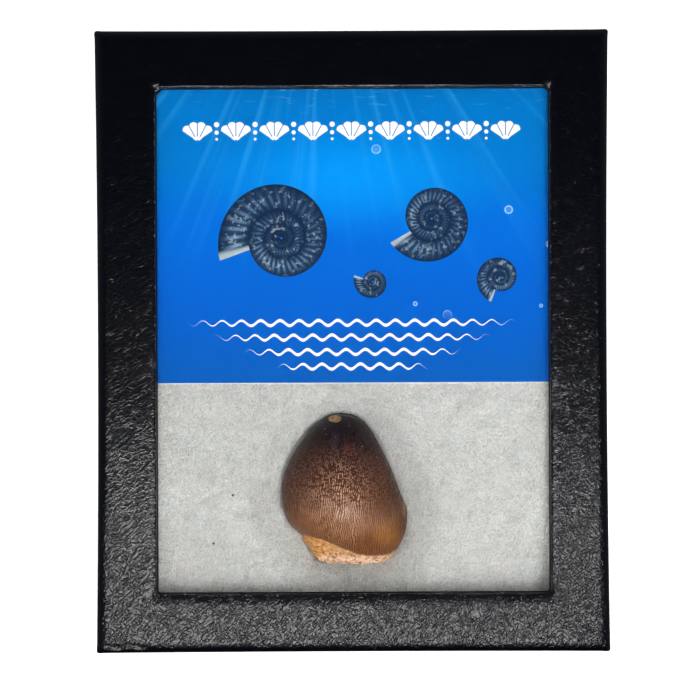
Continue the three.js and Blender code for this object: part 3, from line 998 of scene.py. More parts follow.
@dataclass(frozen=True)
class FossilFinish:
    """Brown enamel, nearly black at the tip, over tan broken dentine.

    The mesh carries dentine, 1 on the broken root, and ridge, the height of the enamel's wrinkles.
    """

    at: tuple[float, float, float]
    pitch: float = 0.35
    splinter_degrees: float = 14.0
    splinter_stretch: tuple[float, float, float] = (3.0, 1.0, 1.0)
    stains: tuple[Stain, ...] = (
        Stain((9.6, -9.0), (3.6, 3.2), 1.3, 0.2, 0.75, srgb(150, 94, 30)),
        Stain((-9.5, -6.5), (4.0, 4.0), 1.3, 0.2, 0.5, srgb(118, 74, 44)),
        Stain((0.8, 8.7), (1.5, 1.7), 1.3, 0.1, 0.35, srgb(92, 42, 28)),
        Stain((-2.1, 11.2), (1.3, 2.6), 1.1, 0.2, 0.3, srgb(50, 46, 60)),
        Stain((12.8, -4.0), (0.5, 1.9), 1.3, 0.5, 0.7, srgb(206, 158, 116)),
    )

    def _pebbles(self, wiring: Wiring, x: Field, y: Field, z: Field) -> Field:
        """The finest wrinkles: lines that fan out from the tip, broken into dots high up and whole low down.

        Args:
            wiring: The material's wiring.
            x: Place across the tooth.
            y: Place up the tooth.
            z: Place through the tooth.

        Returns:
            0 in the grooves between the wrinkles, and 1 on their backs.
        """
        fan = (y * -1 + 70) * (self.pitch / 70)
        drift = (wiring.noise(wiring.place(), 2.6, detail=0.6) - 0.5) * 4
        course = x.angle(z + 6) * 14 / fan + drift
        line = abs(course.fract() - 0.5) * 2
        low = (y + drift * 0.5).ramp(3.0, -6.0) * 0.7
        beads = wiring.noise(wiring.joined(course * 0.7, y / 0.45, z), 0.9, detail=1.5).ramp(0.36, 0.62)
        return line * (beads * 1.3 * (low * -1 + 1) + low)

    def _enamel(
        self,
        wiring: Wiring,
        x: Field,
        y: Field,
        ridge: Field,
        pebbles: Field,
    ) -> bpy.types.NodeSocket:
        """Tan brown low down and dark at the tip, with stains and a worn spot, painted shade on the flanks
        and in the wrinkles' grooves, and painted highlights on the wrinkle crests and as light specks high
        up.

        Args:
            wiring: The material's wiring.
            x: Place across the tooth.
            y: Place up the tooth.
            ridge: The height of the wrinkles that the mesh carries.
            pebbles: The height of the finest wrinkles.

        Returns:
            The colour's socket.
        """
        cloud = wiring.effect(Effect.MOTTLE, Size=5) - 0.5
        up = (y + cloud * 5 + ridge * 0.5 - (x * x) * 0.012 + 12.5) / 29
        colour = wiring.blend(up, (
            (0.0, srgb(104, 62, 30)),
            (0.16, srgb(116, 73, 42)),
            (0.32, srgb(88, 53, 32)),
            (0.52, srgb(68, 39, 28)),
            (0.7, srgb(44, 24, 22)),
            (0.82, srgb(19, 10, 16)),
            (1.0, srgb(9, 5, 11)),
        ))
        worn = ((x + 2.1) / 1.5).beside((y - 15.5) / 0.8).ramp(1.05, 0.75)
        fine = wiring.noise(wiring.place(), 0.3, detail=2)
        bare = wiring.mix(fine.ramp(0.42, 0.58), srgb(78, 52, 34), srgb(172, 134, 98))
        # Painted glints: light specks high on the crown stand for tiny highlights.
        painted_high_glints = wiring.effect(Effect.DUST, Spacing=1.0, Share=0.35, Speck=0.11) * y.ramp(4.0, 8.0)
        # Painted shade: the crown's sides, low down, are darker where they turn away from the light.
        painted_flank_shade = (abs(x + 0.4) / 13 + cloud * 0.5).ramp(0.45, 1.0) * y.ramp(-17.0, -6.0)
        # Painted highlight: paler wrinkle crests, strongest in the middle of the crown and fading to the
        # sides and tip.
        middle = ((x + 0.8) / 8.5).beside((y + 0.8) / 13).ramp(1.05, 0.1)
        crest = (pebbles + ridge * 0.2).ramp(0.35, 1.0) * up.ramp(1.0, 0.38) * (middle * 0.58 + 0.1)
        return wiring.laid(
            colour,
            *((stain.share(x, y), stain.colour) for stain in self.stains),
            (worn, bare),
            # Painted glints high on the crown.
            (painted_high_glints * 0.6, srgb(176, 166, 172)),
            # Painted shade on the flanks.
            (painted_flank_shade * 0.68, srgb(34, 18, 16)),
            # Painted highlight on the wrinkle crests.
            (crest, srgb(212, 170, 142)),
            # Painted shade in the grooves between the finest wrinkles.
            (pebbles.ramp(0.4, 0.0) * 0.36, srgb(24, 13, 11)),
        )

    def _splinters(self, wiring: Wiring) -> bpy.types.NodeSocket:
        """A place stretched along the way the dentine splinters."""
        return wiring.stretched(wiring.place(), self.splinter_degrees, self.splinter_stretch)

    def _dentine(self, wiring: Wiring, x: Field, y: Field) -> bpy.types.NodeSocket:
        """Granular tan, more orange to the left, with pinkish-white breaks low down, dark pits and painted
        glints.
        """
        flakes = self._splinters(wiring)
        broad = wiring.noise(wiring.place(), 1.6, detail=4)
        fine = wiring.noise(flakes, 0.42, detail=3)
        grains = wiring.noise(flakes, 0.3, detail=2)
        left = (x * -1 + broad * 3).ramp(2.0, 7.0)
        pale = (y * -1 + broad * 2).ramp(14.4, 15.8) * fine.ramp(0.3, 0.54)
        pits = fine.ramp(0.47, 0.36).most(broad.ramp(0.44, 0.34) * 0.8)
        # Painted glints: bright specks on the broken dentine.
        glints = wiring.effect(Effect.DUST, Spacing=0.7, Share=0.5, Speck=0.12)
        return wiring.laid(
            srgb(184, 138, 94),
            (left * 0.8, srgb(188, 126, 60)),
            (grains.ramp(0.5, 0.62) * 0.7, srgb(226, 186, 138)),
            (pale * 0.7, srgb(236, 202, 180)),
            (pits * 0.8, srgb(128, 74, 32)),
            # Painted glints.
            (glints * 0.9, srgb(255, 238, 214)),
        )

    def material(self) -> bpy.types.Material:
        """Builds the material, with the tooth's own middle as its centre."""
        coat = Coat("fossil", specular_ior_level=0.3, coat_roughness=0.1)
        wiring = coat.wiring
        x, y, z = wiring.axes(wiring.place())
        x, y, z = x - self.at[0], y - self.at[1], z - self.at[2]
        dentine = wiring.attribute("dentine")
        ridge = wiring.attribute("ridge")
        pebbles = self._pebbles(wiring, x, y, z)
        enamel = self._enamel(wiring, x, y, ridge, pebbles)
        colour = wiring.mix(dentine, enamel, self._dentine(wiring, x, y))
        # Painted shadow: a dark brown band where the enamel's lower edge meets the root, under its overhang.
        lip = dentine.ramp(0.0, 0.4) * dentine.ramp(1.0, 0.6)
        coat.set(base_color=wiring.mix(lip * 0.7, colour, srgb(70, 38, 22)))
        polish = wiring.effect(Effect.MOTTLE, Size=1.5)
        polished = ((x - 0.5) / 2.8).beside((y + 4.6) / 1.6).ramp(0.5, 1.3)
        coat.set(roughness=polish * 0.12 + polished * 0.07 + 0.05 + dentine * 0.3)
        coat.set(coat_weight=(dentine * -1 + 1) * (polished * -0.75 + 0.8))
        flakes = wiring.noise(self._splinters(wiring), 0.4, detail=3)
        height = pebbles * (dentine * -1 + 1) * (polished * 0.5 + 0.2) * (y.ramp(15.0, 5.0) * 0.85 + 0.15)
        coat.relief(height + flakes * dentine * 2, 0.1)
        return coat.material


@dataclass(frozen=True)
class PaleFloor:
    """Plain pale studio floor."""

    white: Colour = srgb(244, 244, 243)

    def material(self) -> bpy.types.Material:
        """Builds the material."""
        coat = Coat("pale_floor", emission_color=(1.0, 1.0, 1.0, 1.0), emission_strength=0.35)
        wiring = coat.wiring
        paper = wiring.effect(Effect.MOTTLE, Size=60)
        coat.set(base_color=wiring.mix(paper * 0.1, self.white, srgb(232, 232, 232)))
        coat.set(roughness=paper * 0.1 + 0.7)
        return coat.material


# The case


@dataclass(frozen=True)
class Outline:
    """A rectangle's outline with soft or straight-cut corners, anticlockwise from its right side.

    A point is its centre multiplier times (half size - inset - corner) plus its direction times the corner
    radius. The corners are upper right, upper left, lower left and lower right. The sides can be pulled in
    at mid-length by a bow.
    """

    half_x: float
    half_y: float
    corners: tuple[float, float, float, float]
    shift: tuple[float, float] = (0.0, 0.0)
    bow: tuple[float, float] = (0.0, 0.0)
    cut: bool = False

    def loops(self, insets: np.ndarray, heights: np.ndarray, steps: tuple[int, int, int]) -> np.ndarray:
        """Loops of the outline.

        Args:
            insets: Array (rows) of how far each loop is inside the outline.
            heights: Array (rows) of each loop's Z.
            steps: Steps along a corner, an end and a long side.

        Returns:
            Array (rows, points, 3).
        """
        corner_steps, end_steps, side_steps = steps
        middles, directions, radii = [], [], []
        for k in range(4):
            turn = k * QUARTER
            ahead = np.array([math.cos(turn), math.sin(turn)]).round()
            aside = np.array([-ahead[1], ahead[0]])
            share = np.linspace(0, 1, corner_steps + 1)[:, None]
            straight = ahead * (1 - share) + aside * share
            arc = ahead * np.cos(share * QUARTER) + aside * np.sin(share * QUARTER)
            middles.append(np.repeat([ahead + aside], corner_steps + 1, axis=0))
            directions.append(straight if self.cut else arc)
            count = end_steps if k % 2 == 0 else side_steps
            run = np.linspace(0, 1, count + 1)[1:-1, None]
            middles.append(aside + ahead * (1 - 2 * run))
            directions.append(np.repeat([aside], count - 1, axis=0))
            here, following = self.corners[k], self.corners[(k + 1) % 4]
            radii += [np.full((corner_steps + 1, 1), here), here + (following - here) * run]
        middle = np.vstack(middles)
        direction = np.vstack(directions)
        radius = np.vstack(radii)
        half = np.array([self.half_x, self.half_y])
        inner = half - insets[:, None, None] - radius
        flat = middle * inner + direction * radius
        share = flat / half
        pull = np.array(self.bow) * np.maximum(0, 1 - share[..., ::-1] ** 2) * share
        flat = flat - pull + np.array(self.shift)
        rise = np.broadcast_to(heights[:, None, None], (*flat.shape[:2], 1))
        return np.concatenate([flat, rise], axis=-1)


@dataclass
class SpecimenCase:
    """Board tray and lid, the glass between them, and the two pins that hold them together."""

    width: float = 109.0
    length: float = 132.0
    depth: float = CASE_DEPTH
    board: float = 1.5
    roll: float = 1.8
    roll_reach: float = 2.3
    corner: float = 0.9
    bow: tuple[float, float] = (0.5, 0.15)
    hem: float = 1.25
    window: tuple[float, float] = (83.5, 107.2)
    window_shift: tuple[float, float] = (0.15, 0.13)
    window_cuts: tuple[float, float, float, float] = (0.6, 1.2, 0.3, 0.35)
    window_roll: float = 0.3
    window_sinks: tuple[tuple[float, float, float, float], ...] = (
        (1, 0, 0.28, 1.4), (0, 1, 0.03, 0.6), (-1, 0, 0.28, 1.6), (0, -1, 0.6, 2.6),
    )
    glass: float = 2.0
    tray_gap: float = 0.75
    steps: tuple[int, int, int] = (10, 190, 240)
    ear: float = 0.16
    ear_crease: float = 0.09
    fold_ridge: float = 0.24
    fold_groove: float = 0.14
    unevenness: float = 0.09
    fray: tuple[float, float] = (0.09, 0.16)
    wall_rows: int = 12
    roll_rows: int = 21
    face_rows: int = 23
    mouth_rows: int = 9
    paper: float = 0.12
    pin_height: float = 12.5
    pin_length: float = 13.0
    pin_radius: float = 0.35
    pin_head: float = 1.0
    pin_dent: float = 0.12
    pin_columns: int = 48
    tray_corner: float = 1.0
    tray_steps: tuple[int, int, int] = (6, 60, 80)
    turn_in: float = 14.0

    @property
    def half(self) -> np.ndarray:
        """Half the width and half the length."""
        return np.array([self.width, self.length]) / 2

    def _ears(self, points: np.ndarray, shown: np.ndarray) -> np.ndarray:
        """Pushes the wrap's folds out at the four corners, creases the roll and face inward from them, and
        leaves a fold in the roll at the lower left, as a ridge beside a groove."""
        short = self.half - np.abs(points[..., :2])
        reach = short.max(axis=-1)
        skew = short[..., 0] - short[..., 1]
        out = np.sign(points[..., :2]) * (self.ear * bump_at(reach, 0, 0.9) * shown)[..., None]
        lift = self.ear_crease * (bump_at(skew, 0, 0.3) * ease(reach, 2.6, 0.6) * shown)
        x, y = points[..., 0], points[..., 1]
        fold = self.half[1] + y + 0.22 * np.sin(x * 1.1) + 0.1 * np.sin(x * 3.7)
        at_fold = ease(x, -42.5, -46.0) * ease(reach, 1.2, 2.6) * shown
        profile = self.fold_ridge * bump_at(fold, 0.8, 0.3) - self.fold_groove * bump_at(fold, 1.75, 0.45)
        lift += profile * at_fold
        return np.concatenate([points[..., :2] + out, points[..., 2:] + lift[..., None]], axis=-1)

    def lid(self, finish: bpy.types.Material) -> None:
        """Builds the lid: a tube of loops from its hem up the wall, over the roll, across the face, into the
        window and back down inside.

        Args:
            finish: The wrap's material.
        """
        top = self.depth
        under = top - self.board + 0.02
        outer = Outline(*self.half, (self.corner,) * 4, bow=self.bow)
        hole = Outline(
            self.window[0] / 2, self.window[1] / 2, self.window_cuts, shift=self.window_shift, cut=True,
        )
        turn = np.linspace(0, QUARTER, self.mouth_rows)
        arc = np.linspace(0, QUARTER, self.roll_rows)
        wall_z = np.linspace(self.hem + 0.3, top - self.roll - 0.4, self.wall_rows)
        roll_z = top - self.roll * (1 - np.sin(arc))
        mouth_z = top - self.window_roll * (1 - np.cos(turn))
        hem = outer.loops(np.array([0.3, 0.08]), np.array([self.hem, self.hem + 0.08]), self.steps)
        wall = outer.loops(np.zeros(self.wall_rows), wall_z, self.steps)
        rolled = outer.loops(self.roll_reach * (1 - np.cos(arc)), roll_z, self.steps)
        mouth = hole.loops(-self.window_roll * (1 - np.sin(turn)), mouth_z, self.steps)
        share = np.concatenate([[0.012], 1 - np.linspace(1, 0, self.face_rows + 1)[1:-1] ** 1.8])
        face = rolled[-1] * (1 - share[:, None, None]) + mouth[0] * share[:, None, None]
        throat = hole.loops(np.array([0.08, 0.28]), np.array([top - 1.0, under]), self.steps)
        inner = outer.loops(np.full(2, self.board), np.array([under, self.hem]), self.steps)
        parts = [hem, wall, rolled, face, mouth, throat, inner]
        points = np.concatenate(parts)
        rows = np.cumsum([len(part) for part in parts])
        shown = np.zeros((len(points), 1))
        shown[: rows[3]] = 1
        inside = np.zeros(points.shape[:2])
        inside[rows[4]:] = 1
        edge = np.zeros(points.shape[:2])
        edge[rows[1]: rows[2]] = 0.3 * np.sin(2 * arc)[:, None]
        edge[rows[3]: rows[4]] = 0.75 * (0.35 + 0.65 * np.sin(2 * turn)[:, None])
        edge[0] = 0.4
        near = bump_at((self.half - np.abs(points[..., :2])).max(axis=-1), 0, 1.6)
        edge = np.maximum(edge, 0.5 * near * shown)
        points = self._ears(points, shown)
        points = self._wrap_steps(points, shown)
        points[..., 2] += self.unevenness * self._waves(points) * (points[..., 2] > top - 1.0) * shown
        points[rows[2]: rows[5], :, 2] -= self._sink(points[rows[2]: rows[5]])
        points = self._frayed_window(points, rows[3], rows[4])
        faces = grid_faces(*points.shape[:2], wrap_rows=True, wrap_columns=True)
        add_piece(
            "lid", Surface(points.reshape(-1, 3), [faces]), finish, ["lid_frame"],
            {"edge": edge, "inside": inside}, sharp=50,
        )

    def _sink(self, points: np.ndarray) -> np.ndarray:
        """How far the face slopes down to the window: by each side's depth at its edge, less by the square of
        the share of that side's width that a point is away, and nothing past the side's ends."""
        away = points[..., :2] - np.array(self.window_shift)
        sunk = np.zeros(points.shape[:-1])
        for x, y, depth, width in self.window_sinks:
            towards = away @ np.array([x, y]) - abs(x * self.window[0] + y * self.window[1]) / 2
            along = np.abs(away @ np.array([y, x])) - abs(y * self.window[0] + x * self.window[1]) / 2
            share = np.clip(1 - towards / width, 0, 1) ** 2 * ease(along, 1.2, -0.4) * (towards > -1)
            sunk = np.maximum(sunk, depth * share)
        return sunk

    def _waves(self, points: np.ndarray) -> np.ndarray:
        """The board's slow unevenness, as noise over about 20 mm and 4 mm."""
        noise = GradientNoise(11)
        flat = points * np.array([1, 1, 0])
        return noise.at(flat / 21) + 0.35 * noise.at(flat / 4.2 + 5)

    def _wrap_steps(self, points: np.ndarray, shown: np.ndarray) -> np.ndarray:
        """Overlaps of the wrap: the long sides' ends are folded round onto the end walls, one paper thick, up
        to a slanting cut. Round each pin the wrap is pressed in a little."""
        half_x, half_y = self.half
        x, y, z = points[..., 0], points[..., 1], points[..., 2]
        below = ease(z, self.depth - self.roll + 0.2, self.depth - self.roll - 0.6)
        on_end = (np.abs(y) > half_y - 0.8) * below * shown
        cut = half_x - 13 + 0.22 * z
        flap = ease(np.abs(x), cut - 0.15, cut + 0.15) * on_end
        dent = np.exp(-((y**2 + (z - self.pin_height) ** 2) / 2.6)) * (np.abs(x) > half_x - 1.2) * shown
        moved = points.copy()
        moved[..., 1] += np.sign(y) * self.paper * flap
        moved[..., 0] -= np.sign(x) * self.pin_dent * dent
        return moved

    def _frayed_window(self, points: np.ndarray, first: int, last: int) -> np.ndarray:
        """Makes the turned-in paper at the window uneven: noise over about 0.9 mm and 5.5 mm moves its roll
        in and out, by a sine that fades at the roll's two ends."""
        noise = GradientNoise(5)
        band = points[first:last]
        ragged = self.fray[0] * noise.fractal(band / 0.9, 2) + self.fray[1] * noise.at(band / 5.5)
        centre = np.array([*self.window_shift, 0.0])
        out = (band - centre) * np.array([1, 1, 0])
        out = out / np.linalg.norm(out, axis=-1, keepdims=True)
        fade = np.sin(np.linspace(0.15, 1.0, len(band)) * math.pi)[:, None]
        points[first:last] = band + out * (ragged * fade)[..., None]
        return points

    def tray(self, finish: bpy.types.Material) -> None:
        """Builds the tray: loops from the middle of its underside, up the wall, over the rim and down inside.
        The paper of its walls is turned under, so the middle of the underside is one paper higher.

        Args:
            finish: The cover paper.
        """
        half_x, half_y = self.half - self.board - self.tray_gap
        half_y += self.bow[1]
        rim = self.depth - self.board - self.glass - 0.02
        floor = self.board
        section = np.array([
            (30, self.paper), (self.turn_in + 0.2, self.paper), (self.turn_in, 0.0), (6, 0.0), (0.5, 0.0),
            (0.15, 0.12), (0.0, 0.5), (0.0, 8.0), (0.0, 16.0), (0.0, rim - 0.4), (0.12, rim - 0.12),
            (0.4, rim), (1.1, rim), (1.38, rim - 0.12), (1.5, rim - 0.4), (1.5, 12.0), (1.5, floor + 0.4),
            (1.9, floor), (20, floor),
        ])
        wear = np.array([0, 0, 0.3, 0, 0.6, 1, 0.5, 0, 0, 0.3, 0.7, 0.8, 0.8, 0.7, 0.3, 0, 0, 0, 0])
        outline = Outline(half_x, half_y, (self.tray_corner,) * 4)
        loops = outline.loops(section[:, 0], section[:, 1], self.tray_steps)
        edge = np.concatenate([np.repeat(wear, loops.shape[1]), [0, 0]])
        surface = closed_stack(loops, (0, 0, self.paper), (0, 0, floor))
        add_piece("tray_board", surface, finish, ["tray"], {"edge": edge}, sharp=20)

    def pins(self, finish: bpy.types.Material) -> None:
        """Builds the two pins: a point, a long shank and a thin domed head, turned about the X axis.

        Args:
            finish: The steel.
        """
        seat = self.width / 2 - self.bow[0] + 0.1
        shank, head, length = self.pin_radius, self.pin_head, self.pin_length
        section = np.array([
            (0.05, 0.05), (0.2, 0.7), (shank, 1.6), (shank, length - 0.12), (shank + 0.12, length),
            (head * 0.93, length), (head, length + 0.06), (head, length + 0.16), (head * 0.9, length + 0.25),
            (head * 0.55, length + 0.29),
        ])
        turn = np.linspace(0, TURN, self.pin_columns, endpoint=False)
        radius = section[:, :1]
        for side, name in ((-1, "pin_left"), (1, "pin_right")):
            across = side * (seat - length + section[:, 1:])
            loops = np.stack([
                np.broadcast_to(across, (len(section), self.pin_columns)),
                radius * np.cos(side * turn),
                self.pin_height + radius * np.sin(side * turn),
            ], axis=-1)
            tip = (side * (seat - length), 0, self.pin_height)
            crown = (side * (seat + 0.3), 0, self.pin_height)
            surface = closed_stack(loops, tip, crown)
            add_piece(name.replace("pin", "steel_pin"), surface, finish, [name], sharp=50)

    def dress_glass(self, finish: bpy.types.Material) -> None:
        """Gives the CAD's pane its glass."""
        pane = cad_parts["glass_pane"]
        pane.data.materials.clear()
        pane.data.materials.append(finish)


# What lies in the case


@dataclass(frozen=True)
class Station:
    """A ring of the tooth: its left and right ends, how far it reaches to the front and back, how far its
    front hangs down and its lift off the midplane."""

    left: tuple[float, float]
    right: tuple[float, float]
    front: float
    back: float
    sag: float = 0.0
    lift: float = 0.0


@dataclass
class FossilTooth:
    """Blunt crown with wrinkled enamel on a broken root, one solid that lies with its front to the glass."""

    at: tuple[float, float, float] = (-1.75, -32.2, 14.5)
    root: tuple[Station, ...] = (
        Station((-5.7, -15.7), (8.2, -16.0), 5.2, 4.6),
        Station((-6.6, -14.5), (9.3, -14.9), 6.0, 5.2, 0.3),
        Station((-8.2, -12.1), (10.55, -13.5), 6.5, 5.6, 1.2),
        Station((-9.5, -9.8), (11.25, -12.0), 6.8, 5.9, 2.9),
    )
    crown: tuple[Station, ...] = (
        Station((-10.2, -9.2), (11.8, -11.2), 7.5, 6.5, 3.0),
        Station((-11.8, -7.6), (12.95, -9.0), 8.9, 7.6, 2.5),
        Station((-12.75, -5.8), (13.35, -6.6), 9.6, 8.2, 1.9),
        Station((-13.35, -3.6), (13.15, -4.0), 10.0, 8.6, 1.4),
        Station((-13.65, -1.05), (12.4, -2.2), 10.2, 8.8, 1.0),
        Station((-13.5, 1.55), (11.65, -0.2), 10.2, 8.8, 0.6),
        Station((-12.85, 4.15), (10.7, 2.4), 9.9, 8.6, 0.3),
        Station((-11.95, 6.35), (9.65, 5.0), 9.4, 8.1, 0.1),
        Station((-10.4, 9.1), (8.45, 7.6), 8.7, 7.4, 0.0, 0.1),
        Station((-8.85, 11.4), (7.05, 10.2), 7.8, 6.5, 0.0, 0.3),
        Station((-7.05, 13.5), (5.75, 12.6), 6.5, 5.2, 0.0, 0.5),
        Station((-4.95, 15.15), (4.1, 14.65), 4.8, 3.7, 0.0, 0.8),
        Station((-3.3, 16.2), (2.05, 16.0), 2.8, 2.0, 0.0, 1.1),
        Station((-1.35, 16.6), (-1.35, 16.6), 0.0, 0.0, 0.0, 1.3),
    )
    tip_y: float = 16.6
    front_columns: int = 560
    back_columns: int = 40
    break_rows: int = 10
    root_rows: int = 42
    crown_rows: int = 112
    wrinkle_pitch: float = 0.7
    wrinkle_depth: float = 0.035
    undulation: float = 0.16
    carina: float = 0.16
    nick: float = 0.3
    nick_at: tuple[float, float, float] = (-12.1, 6.3, 0.0)
    margin_rag: float = 0.3
    root_step: float = 0.7
    root_splinter: float = 0.45
    root_grit: float = 0.34
    root_rag: float = 0.5
    pulp: float = 1.4
    shoulder: float = 0.35
    worn_at: tuple[float, float, float] = (-2.1, 15.4, 4.75)
    worn_facing: tuple[float, float, float] = (-0.12, 0.81, 0.57)

    def angles(self) -> np.ndarray:
        """Where the columns are round a ring, anticlockwise seen from the tip and closer on the front."""
        front = np.linspace(math.pi, 0, self.front_columns, endpoint=False)
        back = np.linspace(0, -math.pi, self.back_columns, endpoint=False)
        return np.concatenate([front, back])

    def rings(self, stations: Sequence[Station], along: np.ndarray) -> np.ndarray:
        """Rings through stations.

        A point is the left end plus (1 + cosine) / 2 of the way to the right end, raised by the sine times
        the reach, and hung down by the sag where it faces the front. The widest line stands off the midplane
        by the shoulder's share of the front reach.

        Args:
            stations: The tooth's root or crown.
            along: Shares of the way along it.

        Returns:
            Array (rings, columns, 3), in the tooth's own frame.
        """
        left = catmull_rom(np.array([(*s.left, s.lift) for s in stations]), along)[:, None, :]
        right = catmull_rom(np.array([(*s.right, s.lift) for s in stations]), along)[:, None, :]
        reach = catmull_rom(np.array([(s.front, s.back, s.sag) for s in stations]), along)[:, None, :]
        across = np.cos(self.angles())[None, :]
        forward = np.sin(self.angles())[None, :]
        points = left + (right - left) * (1 + across[..., None]) / 2
        rise = self.shoulder * reach[..., 0]
        points[..., 2] += rise + forward * np.where(forward > 0, reach[..., 0] - rise, reach[..., 1] + rise)
        hang = np.maximum(0, forward) ** 0.6 * ease(across, -0.85, 0.45)
        points[..., 1] -= np.maximum(0, reach[..., 2]) * hang
        return points

    def _wrinkles(self, points: np.ndarray) -> np.ndarray:
        """Enamel wrinkles: crests where noise is near zero.

        The noise is read in a place that fans out from the tip, so that the wrinkles run from tip to margin.
        It is stretched lengthwise, little at mid-height and much near the margin.
        """
        noise = GradientNoise(3)
        x, y, z = points[..., 0], points[..., 1], points[..., 2]
        fan = 40 / (40 + self.tip_y - y)
        drift = noise.at(np.stack([x / 2.3, y / 3.5, z / 2.3], axis=-1))
        wide = x * fan / self.wrinkle_pitch + 0.9 * drift
        deep = z * fan / self.wrinkle_pitch + 0.9 * drift
        long = noise.at(np.stack([wide, y / (self.wrinkle_pitch * 7), deep], axis=-1))
        short = noise.at(np.stack([wide * 0.95 + 40, y / (self.wrinkle_pitch * 1.4), deep * 0.95], axis=-1))
        low = ease(y + 3 * drift, 0.5, -4.5)
        value = long * low + short * (1 - low)
        crest = 1 - 2 * ease(np.abs(value), 0.0, 0.42)
        smooth = ease(y, 15.5, 10.0) * 0.75 + 0.25
        return crest * smooth

    def _worn(self, points: np.ndarray) -> np.ndarray:
        """Points past the worn facet's plane lie on it."""
        facing = np.array(self.worn_facing) / np.linalg.norm(self.worn_facing)
        past = (points - np.array(self.worn_at)) @ facing
        return points - np.maximum(0, past)[..., None] * facing

    def _crown(self) -> tuple[np.ndarray, np.ndarray]:
        """The crown's rings and the height of the wrinkles.

        A ring is moved out by the wrinkles, a slow unevenness, the cutting edge on the right and a nick on
        the left, and the enamel's lower edge is ragged.
        """
        along = np.sin(np.linspace(0, 1, self.crown_rows, endpoint=False) * QUARTER)
        points = self.rings(self.crown, along)
        noise = GradientNoise(21)
        ridge = self._wrinkles(points)
        undulation = self.undulation * noise.at(points / 5.5) + 0.06 * noise.at(points / 1.9)
        carina = self.carina * bump_at(self.angles(), 0, 0.05)[None, :]
        nick = self.nick * np.exp(-(((points - np.array(self.nick_at)) / 0.8) ** 2).sum(axis=-1))
        relief = self.wrinkle_depth * ridge + undulation + carina - nick
        fade = ease(along, 1.0, 0.985)[:, None]
        points = points + grid_normals(points) * (relief * fade)[..., None]
        points[..., 1] += self.margin_rag * noise.fractal(points / 1.4, 2) * ease(along, 0.03, 0.0)[:, None]
        return self._worn(points), ridge

    def _root(self) -> np.ndarray:
        """The root's rings: broken dentine with steps, splinters and grit, smoother just under the enamel."""
        along = np.linspace(0, 1, self.root_rows)
        points = self.rings(self.root, along)
        noise = GradientNoise(9)
        steps = noise.at(points * np.array([0.34, 0.5, 0.34]))
        stepped = np.round(steps * 5) / 5 * 0.6 + steps * 0.4
        splinters = noise.at(points * np.array([1.1, 0.45, 1.1]) + 9)
        grit = noise.fractal(points / 0.55, 2)
        relief = self.root_step * stepped + self.root_splinter * splinters + self.root_grit * grit
        share = 0.35 + 0.65 * ease(along, 1.0, 0.55)[:, None]
        points = points + grid_normals(points) * (relief * share)[..., None]
        points[..., 1] += self.root_rag * noise.fractal(points / 2.2, 3) * ease(along, 0.5, 0.0)[:, None]
        return points

    def _break(self, rim: np.ndarray) -> np.ndarray:
        """Rows across the broken end, inside the rim and hollow in the middle, where the pulp was."""
        middle = rim.mean(axis=0)
        share = np.linspace(0, 1, self.break_rows, endpoint=False)[1:, None, None]
        points = middle + (rim - middle) * share
        noise = GradientNoise(31)
        rough = 0.9 * noise.at(points / 2.4) + 0.3 * noise.at(points / 0.7)
        points[..., 1] += (self.pulp * (1 - share**2))[..., 0] + rough * (1 - share[..., 0] ** 6)
        return points

    def build(self, finish: bpy.types.Material) -> None:
        """Builds the tooth.

        Args:
            finish: Enamel and dentine in one material.
        """
        crown, ridge = self._crown()
        root = self._root()
        inside = self._break(root[0])
        loops = np.concatenate([inside, root, crown]) + np.array(self.at)
        bare = len(inside) + len(root)
        dentine = np.zeros(loops.shape[:2])
        dentine[:bare] = 1
        height = np.zeros(loops.shape[:2])
        height[bare:] = ridge
        surface = closed_stack(loops, loops[0].mean(axis=0), loops[-1].mean(axis=0))
        attributes = {
            "dentine": np.concatenate([dentine.ravel(), [1, 0]]),
            "ridge": np.concatenate([height.ravel(), [0, 0]]),
        }
        add_piece("fossil_tooth", surface, finish, ["tooth"], attributes)

    def outline_radius(self, angle: np.ndarray) -> np.ndarray:
        """How far the tooth reaches from its middle in each direction, seen through the glass."""
        stations = (*self.root, *self.crown)
        ends = np.array([s.right for s in stations] + [s.left for s in stations[::-1]])
        fine = catmull_rom(np.vstack([ends, ends[:1]]), np.linspace(0, 1, 900))
        direction = np.arctan2(fine[:, 1], fine[:, 0])
        order = np.argsort(direction)
        distance = np.linalg.norm(fine, axis=1)
        return np.interp(angle, direction[order], distance[order], period=TURN)


@dataclass(frozen=True)
class FibreLayer:
    """Loose fibres of one layer: how many are drawn, and the least and greatest of each measure."""

    name: str
    seed: int
    count: int
    lengths: tuple[float, float]
    radii: tuple[float, float]
    rises: tuple[float, float]
    tones: tuple[float, float]
    arch: float


